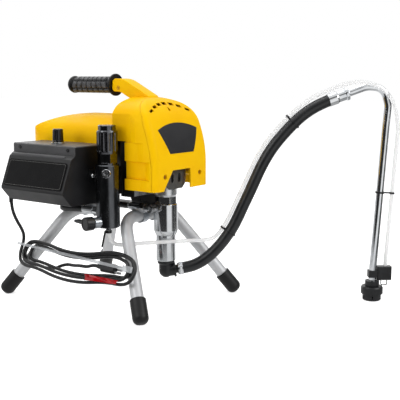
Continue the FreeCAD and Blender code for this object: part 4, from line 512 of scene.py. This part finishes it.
def mains_cord():
    left, right = 129.0, -132.0
    points = [GLAND_END, place(-161, 157, 204), place(-157, 158, 182),
              place(-148, 158.5, 163), place(-137, 159.5, 147), place(-128, 160, 131),
              hank_point(160, 20.8, OUTER), hank_point(160, -12.84, OUTER),
              hank_point(141.84, -31, OUTER)]
    points += sagging_run(left, -31, OUTER, right, -31, OUTER, 12)
    points += half_turn(right - 5, -3.75, 27.25, -1, OUTER, False)
    points += sagging_run(right, 23.5, OUTER, left, 23.5, OUTER, 11, 7)
    points += half_turn(left - 3, 0, 23.5, 1, OUTER, True)
    points += sagging_run(left, -23.5, OUTER, right, -23.5, OUTER, 10)
    points += half_turn(right + 4, -3.75, 19.75, -1, OUTER, False)
    points += sagging_run(right, 16, OUTER, left, 16, INNER, 12, 6)
    points += half_turn(left - 8, 0, 16, 1, INNER, True)
    points += sagging_run(left, -16, INNER, right, -16, INNER, 10)
    points += half_turn(right, 3.75, 19.75, -1, INNER, False)
    points += sagging_run(right, 23.5, INNER, left, 23.5, INNER, 13, 5)
    points += half_turn(left, 0, 23.5, 1, INNER, True)
    points += [hank_point(*corner) for corner in
               ((104, -23.9, 15.5), (92, -25.5, 8.6), (64, -25.5, 8.2), (36, -9.9, 8.2),
                (8, -9.5, 8.3), (-12, -8.6, 17.0), (-36, -8.4, 17.8), (-50, -2.9, 19.5),
                (-64.8, -2.8, 19.5))]
    cord = flexible("mains_cord", points, CORD_R)
    dress(cord, cord_pvc, ["power_cord", "cord_hank"])


# Shapes that repeat: one part set out in rings round an axis

# Turns what stands up the Z axis to lie along the machine
ALONG_Y = Matrix.Rotation(math.radians(-90), 4, "X")


def ring_rows_tree(finish):
    """Geometry nodes that repeat the object's own mesh in rows of rings up the Z axis."""
    tree = bpy.data.node_groups.new("ring_rows", "GeometryNodeTree")
    face = tree.interface
    face.new_socket("Part", in_out="INPUT", socket_type="NodeSocketGeometry")
    ids = {}
    for name, kind in (("Count", "NodeSocketInt"), ("Radius", "NodeSocketFloat"),
                       ("Rows", "NodeSocketInt"), ("Row Step", "NodeSocketFloat"),
                       ("Row Turn", "NodeSocketFloat"), ("Row Shrink", "NodeSocketFloat")):
        ids[name] = face.new_socket(name, in_out="INPUT", socket_type=kind).identifier
    face.new_socket("Result", in_out="OUTPUT", socket_type="NodeSocketGeometry")
    given = add(tree, "NodeGroupInput").outputs
    ring = add(tree, "GeometryNodeMeshCircle", {"Vertices": given["Count"],
                                                "Radius": given["Radius"]})
    index = add(tree, "GeometryNodeInputIndex").outputs[0]
    share = add(tree, "ShaderNodeMath", {0: index, 1: given["Count"]}, operation="DIVIDE")
    angle = add(tree, "ShaderNodeMath", {0: share.outputs[0], 1: 2 * math.pi},
                operation="MULTIPLY")
    turn = add(tree, "ShaderNodeCombineXYZ", {"Z": angle.outputs[0]})
    parts = add(tree, "GeometryNodeInstanceOnPoints", {
        "Points": ring.outputs["Mesh"], "Instance": given["Part"],
        "Rotation": turn.outputs[0]})
    step = add(tree, "ShaderNodeCombineXYZ", {"Z": given["Row Step"]})
    column = add(tree, "GeometryNodeMeshLine", {"Count": given["Rows"],
                                                "Offset": step.outputs[0]})
    twist = add(tree, "ShaderNodeMath", {0: index, 1: given["Row Turn"]}, operation="MULTIPLY")
    aim = add(tree, "ShaderNodeCombineXYZ", {"Z": twist.outputs[0]})
    less = add(tree, "ShaderNodeMath", {0: index, 1: given["Row Shrink"]}, operation="MULTIPLY")
    size = add(tree, "ShaderNodeMath", {0: 1.0, 1: less.outputs[0]}, operation="SUBTRACT")
    scale = add(tree, "ShaderNodeCombineXYZ", {"X": size.outputs[0], "Y": size.outputs[0],
                                               "Z": 1.0})
    rows = add(tree, "GeometryNodeInstanceOnPoints", {
        "Points": column.outputs[0], "Instance": parts.outputs[0],
        "Rotation": aim.outputs[0], "Scale": scale.outputs[0]})
    whole = add(tree, "GeometryNodeRealizeInstances", {"Geometry": rows.outputs[0]})
    coat = add(tree, "GeometryNodeSetMaterial", {"Geometry": whole.outputs[0],
                                                 "Material": finish})
    add(tree, "NodeGroupOutput", {"Result": coat.outputs[0]})
    return tree, ids


def repeated(name, part, finish, **inputs):
    """The plain mesh of a part repeated by ring_rows; input names are written with _ for space."""
    tree, ids = ring_rows_tree(finish)
    holder = linked(name, part)
    rows = holder.modifiers.new("rows", "NODES")
    rows.node_group = tree
    for key, value in inputs.items():
        rows[ids[key.replace("_", " ")]] = value
    return evaluated(holder)


def band(form, low, high):
    """Faces between two rings of points, either of which may be a single point."""
    sides = max(len(low), len(high))
    for n in range(sides):
        m = (n + 1) % sides
        corners = [low[n % len(low)], low[m % len(low)], high[m % len(high)],
                   high[n % len(high)]]
        form.faces.new(list(dict.fromkeys(corners)))


def lathe(name, profile, sides):
    """A closed mesh turned round the Z axis from (radius, height) pairs in mm, axis to axis."""
    form = bmesh.new()
    rings = []
    for radius, height in profile:
        if radius < 1e-6:
            rings.append([form.verts.new((0, 0, height * MM))])
            continue
        rings.append([form.verts.new((radius * MM * math.cos(2 * math.pi * n / sides),
                                      radius * MM * math.sin(2 * math.pi * n / sides),
                                      height * MM)) for n in range(sides)])
    for low, high in zip(rings, rings[1:]):
        band(form, low, high)
    bmesh.ops.recalc_face_normals(form, faces=form.faces)
    return mesh_of(form, name)


def gathered(name, meshes):
    """One mesh from several."""
    form = bmesh.new()
    for mesh in meshes:
        form.from_mesh(mesh)
    return mesh_of(form, name)


# Grip: a soft barrel with a flange, and cushion blocks between slanting grooves

GRIP_Z = 443.0
GRIP_CORE = 15.2
GRIP_BLOCK = 17.7
GRIP_ROWS = 7
GRIP_RING = 6
GRIP_PITCH = 14.3
GRIP_START = 18.5
GRIP_LEAN = 5.5
# A groove's width between two rows of blocks, and between two blocks of a ring in degrees
GROOVE = 2.0
GROOVE_TURN = 9.0
# A block's foot lies this far inside the core; its round edge takes this share of its half width
BLOCK_SUNK = 0.4
BLOCK_EDGE = 0.25
# Faces further out than this, between these two places along the grip, are the blocks' tops, whose
# lighter grey is partly painted highlight
BLOCK_TOPS_R = 15.9
BLOCK_TOPS_Y = (14.0, 122.0)


def cushion_block():
    """One raised block of the grip, curved round the barrel, with rounded edges."""
    form = bmesh.new()
    across, along = 10, 8
    half_angle = math.radians(180 / GRIP_RING - GROOVE_TURN / 2)
    half_long = (GRIP_PITCH - GROOVE) / 2
    foot = GRIP_CORE - BLOCK_SUNK
    grid = []
    for i in range(across + 1):
        u = -1 + 2 * i / across
        column = []
        for j in range(along + 1):
            v = -1 + 2 * j / along
            rise = min(1.0, (1 - max(abs(u), abs(v))) / BLOCK_EDGE)
            radius = foot + (GRIP_BLOCK - foot) * math.sqrt(rise)
            theta = u * half_angle
            column.append(form.verts.new((radius * MM * math.cos(theta) - GRIP_CORE * MM,
                                          radius * MM * math.sin(theta), v * half_long * MM)))
        grid.append(column)
    for i in range(across):
        for j in range(along):
            form.faces.new((grid[i][j], grid[i + 1][j], grid[i + 1][j + 1], grid[i][j + 1]))
    return mesh_of(form, "cushion_block")


def fan_grooves(mesh):
    """Leans the grooves one way by the flange, the other way at the far end."""
    length = (GRIP_ROWS - 1) * GRIP_PITCH
    for vert in mesh.vertices:
        theta = math.atan2(vert.co.y, vert.co.x)
        share = vert.co.z / MM / length
        vert.co.z -= GRIP_LEAN * MM * (1 - 2 * share) * math.sin(theta)
    mesh.update()


def soft_grip():
    blocks = repeated("grip_blocks", cushion_block(), grip_grey_and_highlight, Count=GRIP_RING,
                      Radius=GRIP_CORE * MM, Rows=GRIP_ROWS, Row_Step=GRIP_PITCH * MM,
                      Row_Turn=0.0, Row_Shrink=0.0)
    fan_grooves(blocks)
    blocks.transform(Matrix.Translation((0, 0, (GRIP_START + GRIP_PITCH / 2) * MM)))
    barrel = lathe("barrel", [(0, 4), (22, 4), (23, 5.2), (22.9, 7.5), (21.8, 9.3), (18, 10.4),
                              (16.8, 11.5), (16.4, 13), (GRIP_CORE, 14.5), (GRIP_CORE, 121.5),
                              (17.4, 122.6), (18.2, 124.6), (18.2, 127.5), (17.0, 130.6),
                              (14.4, 133.8), (11, 135.8), (6, 136.5), (0, 136.5)], 56)
    mesh = smooth(gathered("grip", [barrel, blocks]), 50)
    mesh.transform(Matrix.Translation(place(0, 0, GRIP_Z)) @ ALONG_Y)
    dress(linked("grip", mesh), rubber, ["handle_grip"])

    def on_block(point):
        from_axis = math.hypot(point.x, point.z - GRIP_Z)
        return from_axis > BLOCK_TOPS_R and BLOCK_TOPS_Y[0] < point.y < BLOCK_TOPS_Y[1]

    # The blocks' tops take the lighter grey, partly painted highlight where they catch the light
    second_finish(mesh, grip_grey_and_highlight, on_block)


# Strain relief under the gland, its ribs staggered as moulded

RIB_ROWS = 8
RIB_PITCH = 2.7
FIRST_RIB = 2.0
# Each rib reaches 74 degrees to both sides, and each row is 2.2 % narrower than the one before
RIB_HALF = math.radians(74)
RIB_SHRINK = 0.022


def relief_rib():
    """A short rib round part of the sleeve, with rounded edges."""
    form = bmesh.new()
    steps = 14
    section = [(4.2, -0.9), (5.0, -0.9), (5.3, -0.6), (5.3, 0.6), (5.0, 0.9), (4.2, 0.9)]
    rings = []
    for i in range(steps + 1):
        theta = -RIB_HALF + 2 * RIB_HALF * i / steps
        rings.append([form.verts.new((r * MM * math.cos(theta), r * MM * math.sin(theta),
                                      z * MM)) for r, z in section])
    for low, high in zip(rings, rings[1:]):
        band(form, low, high)
    form.faces.new(rings[0])
    form.faces.new(list(reversed(rings[-1])))
    bmesh.ops.recalc_face_normals(form, faces=form.faces)
    return mesh_of(form, "relief_rib")


def strain_relief():
    ribs = repeated("relief_ribs", relief_rib(), nylon, Count=2, Radius=0.0, Rows=RIB_ROWS,
                    Row_Step=RIB_PITCH * MM, Row_Turn=math.radians(90), Row_Shrink=RIB_SHRINK)
    ribs.transform(Matrix.Translation((0, 0, FIRST_RIB * MM)))
    sleeve = lathe("sleeve", [(3.3, 0), (4.9, 0), (4.7, 4), (4.05, 24.6), (3.7, 25), (3.3, 25),
                              (3.3, 0)], 32)
    mesh = smooth(gathered("strain_relief", [sleeve, ribs]), 35)
    downwards = Matrix.Rotation(math.pi, 4, "X")
    mesh.transform(Matrix.Translation(GLAND_END) @ downwards)
    dress(linked("strain_relief", mesh), nylon)


# Control box: bead round the blank panel, rolled lip under the lid

PANEL_TOP = (-168.0, 0.0, 297.0)
# The panel leans back by 23 mm over 58 mm of height
PANEL_LEAN = math.atan2(23, 58)
# From the leaning plane through PANEL_TOP to just inside the panel's face
PANEL_FACE = 1.65
# The bead round the panel: its outer edges, corner radius, width and height
BEAD_Y = (-21.5, 141.5)
BEAD_Z = (-56.5, -5.5)
BEAD_CORNER = 4.0
BEAD_WIDTH = 0.9
BEAD_HEIGHT = 0.35
# The rolled lip: where its axis starts, its radius and length
LIP_START = (-160.8, -9.0, 302.8)
LIP_R = 4.6
LIP_LENGTH = 158.0


def rounded_frame(name, y, z, corner, width, height):
    """A thin flat bead round a rectangle with rounded corners, in mm, raised along -X."""
    form = bmesh.new()
    low_y, high_y = y[0] + corner, y[1] - corner
    low_z, high_z = z[0] + corner, z[1] - corner
    centres = ((high_y, high_z), (low_y, high_z), (low_y, low_z), (high_y, low_z))
    loops = []
    for inset, lift in ((0, 0), (0.15 * width, height), (0.85 * width, height), (width, 0)):
        loop = []
        for quarter, (centre_y, centre_z) in enumerate(centres):
            for n in range(7):
                angle = math.radians(quarter * 90 + n * 15)
                at_y = centre_y + (corner - inset) * math.cos(angle)
                at_z = centre_z + (corner - inset) * math.sin(angle)
                loop.append(form.verts.new((-lift * MM, at_y * MM, at_z * MM)))
        loops.append(loop)
    for low, high in zip(loops, loops[1:]):
        band(form, low, high)
    bmesh.ops.recalc_face_normals(form, faces=form.faces)
    return mesh_of(form, name)


def panel_bead():
    mesh = rounded_frame("panel_bead", BEAD_Y, BEAD_Z, BEAD_CORNER, BEAD_WIDTH, BEAD_HEIGHT)
    lean = Matrix.Rotation(PANEL_LEAN, 4, "Y")
    mesh.transform(Matrix.Translation((-PANEL_FACE * MM, 0, 0)))
    mesh.transform(Matrix.Translation(place(*PANEL_TOP)) @ lean)
    dress(linked("panel_bead", smooth(mesh)), grey_nylon)


def lid_lip():
    """The rolled lip under the lid of the control box, short of the box's right corner; its grey
    is painted highlight, the light from above along it.
    """
    dome = [(LIP_R * math.sin(a), LIP_R * (1 - math.cos(a)))
            for a in [math.radians(15 * k) for k in range(7)]]
    profile = dome + [(r, LIP_LENGTH - h) for r, h in reversed(dome)]
    mesh = smooth(lathe("lip", profile, 28))
    mesh.transform(Matrix.Translation(place(*LIP_START)) @ ALONG_Y)
    dress(linked("lid_lip", mesh), lid_grey_and_lip_highlight)


# Handle arm: one moulding with rounded corners, its foot inside the housing's crown

ARM_HALF = 15.0
ARM_EDGE = 3.6
# The screw through the grip's spigot: along the machine and height
ARM_SCREW = (-15.0, 437.0)
# Corners of its side view: along the machine, height and rounding
ARM_OUTLINE = [(2.5, 456, 11), (-27, 456, 14), (-98, 421, 4), (-98, 413, 2), (-56, 413, 4),
               (-44, 417, 5), (-19, 429.5, 8), (2.5, 429.5, 9)]


# A corner's rounding takes no more than this share of the side next to it
NEAR_HALF = 0.48


def rounded_outline(corners, steps):
    """The corners of an outline, each swapped for a short curve between its tangent points."""
    points = []
    for n, (y, z, radius) in enumerate(corners):
        here = Vector((y, z))
        before = Vector(corners[n - 1][:2]) - here
        after = Vector(corners[(n + 1) % len(corners)][:2]) - here
        start = here + before.normalized() * min(radius, before.length * NEAR_HALF)
        end = here + after.normalized() * min(radius, after.length * NEAR_HALF)
        for k in range(steps + 1):
            t = k / steps
            points.append(start * (1 - t) ** 2 + here * 2 * t * (1 - t) + end * t * t)
    return points


def handle_arm():
    form = bmesh.new()
    outline = rounded_outline(ARM_OUTLINE, 6)
    sides = []
    for x in (-ARM_HALF, ARM_HALF):
        sides.append([form.verts.new(place(x, y, z)) for y, z in outline])
    low, high = sides
    caps = [form.faces.new(low), form.faces.new(list(reversed(high)))]
    band(form, high, low)
    bmesh.ops.recalc_face_normals(form, faces=form.faces)
    rim = list({edge for cap in caps for edge in cap.edges})
    bmesh.ops.bevel(form, geom=rim, offset=ARM_EDGE * MM, segments=4, profile=0.5,
                    affect="EDGES", clamp_overlap=True)
    dress(linked("rounded_arm", smooth(mesh_of(form, "arm"), 35)), yellow_abs,
          ["handle_arm"])


def arm_screw():
    """The head of the screw that holds the grip's spigot, in a ring on each side of the arm."""
    ring = [(0, 0.3), (2.0, 0.3), (2.4, -0.9), (3.2, -0.9), (3.6, 0.3), (4.3, 0.5), (4.6, -0.6),
            (0, -0.6)]
    heads = []
    for side in (-1, 1):
        head = lathe("screw_head", ring, 28)
        turned = Matrix.Rotation(side * math.pi / 2, 4, "Y")
        head.transform(Matrix.Translation(place(side * ARM_HALF, *ARM_SCREW)) @ turned)
        heads.append(head)
    mesh = smooth(gathered("arm_screws", heads), 35)
    # Their amber is painted shade of the recess round each head
    dress(linked("arm_screws", mesh), well_shade_amber)


# Rubber caps on the legs, domed at the end and pressed flat where they stand

# Radius, and height above the end of the leg's tube
CAP_PROFILE = [(0, -0.2), (12.7, -0.2), (12.7, 39), (15.0, 39), (15.7, 38.2), (15.7, 1),
               (15.35, -2), (14.2, -5), (12.2, -7.7), (9.6, -9.7), (6.7, -10.7), (3.7, -11),
               (0, -11)]


def leg_caps():
    caps = []
    for x_side in (-1, 1):
        for y_side in (-1, 1):
            corner = Vector((x_side, y_side, 1.0))
            foot = Vector(LEG_FOOT) * corner
            up = Vector(LEG_TOP) * corner - foot
            cap = lathe("cap", CAP_PROFILE, 40)
            cap.transform(up.to_track_quat("Z", "Y").to_matrix().to_4x4())
            cap.transform(Matrix.Translation(place(*foot)))
            for vert in cap.vertices:
                vert.co.z = max(vert.co.z, 0.0)
            caps.append(cap)
    mesh = smooth(gathered("leg_caps", caps))
    dress(linked("leg_caps", mesh), rubber, ["rubber_feet"])


# Small wire guard under the tube clip

WIRE_R = 1.1
WIRE_PATH = [(446.5, 45), (446.5, 34), (447.2, 31.8), (449.5, 31), (456, 31), (458.3, 31.8),
             (459, 34), (459, 45)]


def wire_guard():
    points = [suction_point(*pair) for pair in WIRE_PATH]
    mesh = evaluated(linked("wire", round_line("wire", "POLY", points, WIRE_R, 3)))
    dress(linked("wire_guard", smooth(mesh, 60)), nylon)


# Red tag on the cord, curled as soft vinyl is

# Where the tag starts, in the hank's own directions
TAG_Y = -50.0
TAG_W = -30.5
TAG_OUT = 29.4
# Its length, half width and thickness, its rise along it, and the share it narrows by
TAG_LENGTH = 84.0
TAG_HALF = 6.0
TAG_THICK = 1.0
TAG_RISE = 2.5
TAG_TAPER = 0.35
# Height of its waves, their angle along and across the tag, and how far its edges curl out
TAG_WAVE = 2.2
TAG_WAVE_ALONG = 8.5
TAG_WAVE_ACROSS = 1.8
TAG_CURL = 3.0


def tag_point(t, v, lift):
    """A point of the tag: t from its start to its end, v from -1 to 1 across it."""
    w = TAG_W + TAG_RISE * t + TAG_HALF * v * (1 - TAG_TAPER * t)
    wave = TAG_WAVE * math.sin(TAG_WAVE_ALONG * t + TAG_WAVE_ACROSS * v)
    curl = TAG_CURL * v * v * (1 - t)
    return hank_point(TAG_Y - TAG_LENGTH * t, w, TAG_OUT + lift + wave + curl)


def cord_tag():
    form = bmesh.new()
    along, across = 28, 8
    sheets = []
    for lift in (0.0, TAG_THICK):
        sheet = []
        for i in range(along + 1):
            sheet.append([form.verts.new(tag_point(i / along, -1 + 2 * j / across, lift))
                          for j in range(across + 1)])
        sheets.append(sheet)
    low, high = sheets
    for i in range(along):
        for j in range(across):
            form.faces.new((low[i][j], low[i + 1][j], low[i + 1][j + 1], low[i][j + 1]))
            form.faces.new((high[i][j], high[i][j + 1], high[i + 1][j + 1], high[i + 1][j]))
    for i in range(along):
        for j in (0, across):
            form.faces.new((low[i][j], low[i + 1][j], high[i + 1][j], high[i][j]))
    for j in range(across):
        for i in (0, along):
            form.faces.new((low[i][j], low[i][j + 1], high[i][j + 1], high[i][j]))
    bmesh.ops.recalc_face_normals(form, faces=form.faces)
    mesh = smooth(mesh_of(form, "tag"), 50)
    dress(linked("curled_tag", mesh), red_pvc, ["cord_tag"])


# Second finishes on single nodes

# The clear strap among the ties lies outside the hank's turns, between these places up the slope
STRAP_OUT = 26.9
STRAP_UP = (-14.0, 24.0)
# The two plugs in the lid's side, which stand out of its wall
LID_PLUGS_Y = (-10.0, 130.0)
LID_PLUGS_Z = 318.0
LID_PLUG_R = 3.6
LID_WALL_X = -155.02
# The outlet fitting is blackened above this height and bright below it
BRIGHT_BELOW = 203.0
# The pins of the mains plug stick out beyond this
PINS_Y = -111.2
# Height at which the lid of the control box starts
LID_Z = 308.9


def detail_nodes():
    def on_strap(point):
        from_hank = point - HANK_MIDDLE
        up = from_hank.dot(HANK_UP)
        return from_hank.dot(HANK_OUT) > STRAP_OUT and STRAP_UP[0] < up < STRAP_UP[1]

    def on_lid_plug(point):
        near = min(math.hypot(point.y - y, point.z - LID_PLUGS_Z) for y in LID_PLUGS_Y)
        return point.x < LID_WALL_X and near < LID_PLUG_R

    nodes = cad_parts
    second_finish(nodes["cable_ties"].data, clear_strap, on_strap)
    second_finish(nodes["outlet_fitting"].data, bright_steel, lambda at: at.z < BRIGHT_BELOW)
    second_finish(nodes["power_plug"].data, bright_steel, lambda at: at.y < PINS_Y)
    second_finish(nodes["control_box"].data, lid_grey_and_lip_highlight, lambda at: at.z > LID_Z)
    second_finish(nodes["control_box"].data, gloss_nylon, on_lid_plug)


# Studio

# The middle of the machine, in metres
MIDDLE = Vector((0.0, 0.0, 0.22))
# Steepness of a direction, of 1 at most, at which the panels begin and end to give way to the
# ceiling
CEILING = (0.4, 0.7)
CEILING_LEVEL = 0.9
# Soft light on the machine from all round
ROOM_LIGHT = 0.42
# The paper lies this far under the feet and reaches this far to each side, in metres
FLOOR_DROP = 0.0002
FLOOR_REACH = 12.0
# A glow that only the camera sees, straight or through clear plastic, makes the paper white
FLOOR_GLOW = 0.7
# Metal sees the paper at one level near the machine, which gives way to the panels between these
# distances in metres
FLOOR_LEVEL = 0.8
FLOOR_NEAR = (0.3, 0.8)


def softbox(name, at, size, watts):
    """A rectangular lamp that points at MIDDLE; its place and size are in metres."""
    light = bpy.data.lights.new(name, "AREA")
    light.shape = "RECTANGLE"
    light.size, light.size_y = size
    light.energy = watts
    lamp = linked(name, light)
    lamp.location = at
    lamp.rotation_euler = (MIDDLE - Vector(at)).to_track_quat("-Z", "Y").to_euler()


def make_lights():
    softbox("key", (0.4, -2.4, 1.7), (1.4, 1.4), 30)
    softbox("side", (-2.1, 0.7, 1.3), (1.2, 1.6), 18)
    softbox("top", (0.2, 0.5, 2.4), (2.0, 2.0), 24)
    softbox("back", (0.6, 2.2, 1.4), (1.6, 1.2), 10)


# Soft panels round the studio as metal sees them: (share of the way round, brightness)
PANELS = ((0.0, 0.03), (0.122, 0.03), (0.142, 1.0), (0.25, 1.0), (0.28, 0.06), (0.445, 0.06),
          (0.475, 0.95), (0.735, 0.95), (0.752, 0.15), (0.767, 0.15), (0.787, 0.9), (0.86, 0.9),
          (0.885, 0.04), (1.0, 0.03))


def panels_round(tree, vector):
    """Brightness of the studio's panels in the direction that a vector points, seen from above."""
    way = add(tree, "ShaderNodeSeparateXYZ", {0: vector}).outputs
    angle = add(tree, "ShaderNodeMath", {0: way["Y"], 1: way["X"]}, operation="ARCTAN2")
    share = add(tree, "ShaderNodeMapRange", {"Value": angle.outputs[0], "From Min": -math.pi,
                                             "From Max": math.pi})
    ramp = add(tree, "ShaderNodeValToRGB", {"Fac": share.outputs["Result"]})
    stops = ramp.color_ramp.elements
    stops.remove(stops[1])
    for n, (position, level) in enumerate(PANELS):
        stop = stops[0] if n == 0 else stops.new(position)
        stop.position = position
        stop.color = (level, level, level, 1.0)
    return ramp.outputs["Color"]


def make_world():
    """White to the camera; to metal, a studio of soft panels with dark gaps between them."""
    world = bpy.data.worlds.new("studio")
    bpy.context.scene.world = world
    world.use_nodes = True
    tree = world.node_tree
    tree.nodes.clear()
    sky = add(tree, "ShaderNodeTexCoord").outputs["Generated"]
    height = add(tree, "ShaderNodeSeparateXYZ", {0: sky}).outputs["Z"]
    overhead = add(tree, "ShaderNodeMapRange", {"Value": height, "From Min": CEILING[0],
                                                "From Max": CEILING[1]})
    room = add(tree, "ShaderNodeMix", {
        0: overhead.outputs["Result"], 6: panels_round(tree, sky),
        7: (CEILING_LEVEL, CEILING_LEVEL, CEILING_LEVEL, 1.0)}, data_type="RGBA")
    ray = add(tree, "ShaderNodeLightPath").outputs
    seen = add(tree, "ShaderNodeMath", {0: ray["Is Camera Ray"], 1: ray["Is Transmission Ray"]},
               operation="MAXIMUM")
    soft = add(tree, "ShaderNodeBackground", {"Color": linear("FFFFFF"), "Strength": ROOM_LIGHT})
    mirror = add(tree, "ShaderNodeBackground", {"Color": room.outputs[2], "Strength": 1.0})
    white = add(tree, "ShaderNodeBackground", {"Color": linear("FFFFFF"), "Strength": 1.0})
    lit = add(tree, "ShaderNodeMixShader", {0: ray["Is Glossy Ray"], 1: soft.outputs[0],
                                            2: mirror.outputs[0]})
    whole = add(tree, "ShaderNodeMixShader", {0: seen.outputs[0], 1: lit.outputs[0],
                                              2: white.outputs[0]})
    add(tree, "ShaderNodeOutputWorld", {"Surface": whole.outputs[0]})


def make_floor():
    """Seamless paper with the machine's soft shadow; metal sees the panels' reflection in it.

    The paper's clouds of fibre are 3.3 mm across.
    """
    material, tree, output, where = blank("matt_paper_white")
    fibre = add(tree, "ShaderNodeTexNoise", {"Vector": where, "Scale": 300.0, "Detail": 2.0})
    tone = add(tree, "ShaderNodeValToRGB", {"Fac": fibre.outputs["Fac"]})
    tone.color_ramp.elements[0].color = linear("EEEEEE")
    tone.color_ramp.elements[1].color = linear("F4F4F4")
    paper = add(tree, "ShaderNodeBsdfDiffuse", {"Color": tone.outputs["Color"]})
    ray = add(tree, "ShaderNodeLightPath").outputs
    seen = add(tree, "ShaderNodeMath", {0: ray["Is Camera Ray"], 1: ray["Is Transmission Ray"]},
               operation="MAXIMUM")
    level = add(tree, "ShaderNodeMath", {0: seen.outputs[0], 1: FLOOR_GLOW},
                operation="MULTIPLY")
    glow = add(tree, "ShaderNodeEmission", {"Color": linear("FFFFFF"),
                                            "Strength": level.outputs[0]})
    both = add(tree, "ShaderNodeAddShader", {0: paper.outputs[0], 1: glow.outputs[0]})
    away = add(tree, "ShaderNodeVectorMath", {0: where}, operation="LENGTH")
    far = add(tree, "ShaderNodeMapRange", {
        "Value": away.outputs["Value"], "From Min": FLOOR_NEAR[0], "From Max": FLOOR_NEAR[1]})
    room = add(tree, "ShaderNodeMix", {
        0: far.outputs["Result"], 6: (FLOOR_LEVEL, FLOOR_LEVEL, FLOOR_LEVEL, 1.0),
        7: panels_round(tree, where)}, data_type="RGBA")
    mirrored = add(tree, "ShaderNodeEmission", {"Color": room.outputs[2]})
    whole = add(tree, "ShaderNodeMixShader", {0: ray["Is Glossy Ray"], 1: both.outputs[0],
                                              2: mirrored.outputs[0]})
    tree.links.new(whole.outputs[0], output.inputs["Surface"])
    form = bmesh.new()
    bmesh.ops.create_grid(form, x_segments=1, y_segments=1, size=FLOOR_REACH)
    mesh = mesh_of(form, "floor")
    mesh.materials.append(material)
    floor = linked("floor", mesh)
    floor.location.z = -FLOOR_DROP


make_camera()
suction_hose()
return_tube()
pressure_hose()
mains_cord()
finish_nodes()
detail_nodes()
handle_arm()
arm_screw()
leg_caps()
wire_guard()
lid_lip()
cord_tag()
soft_grip()
strain_relief()
panel_bead()
make_lights()
make_world()
make_floor()

bpy.context.scene.view_settings.view_transform = "Standard"
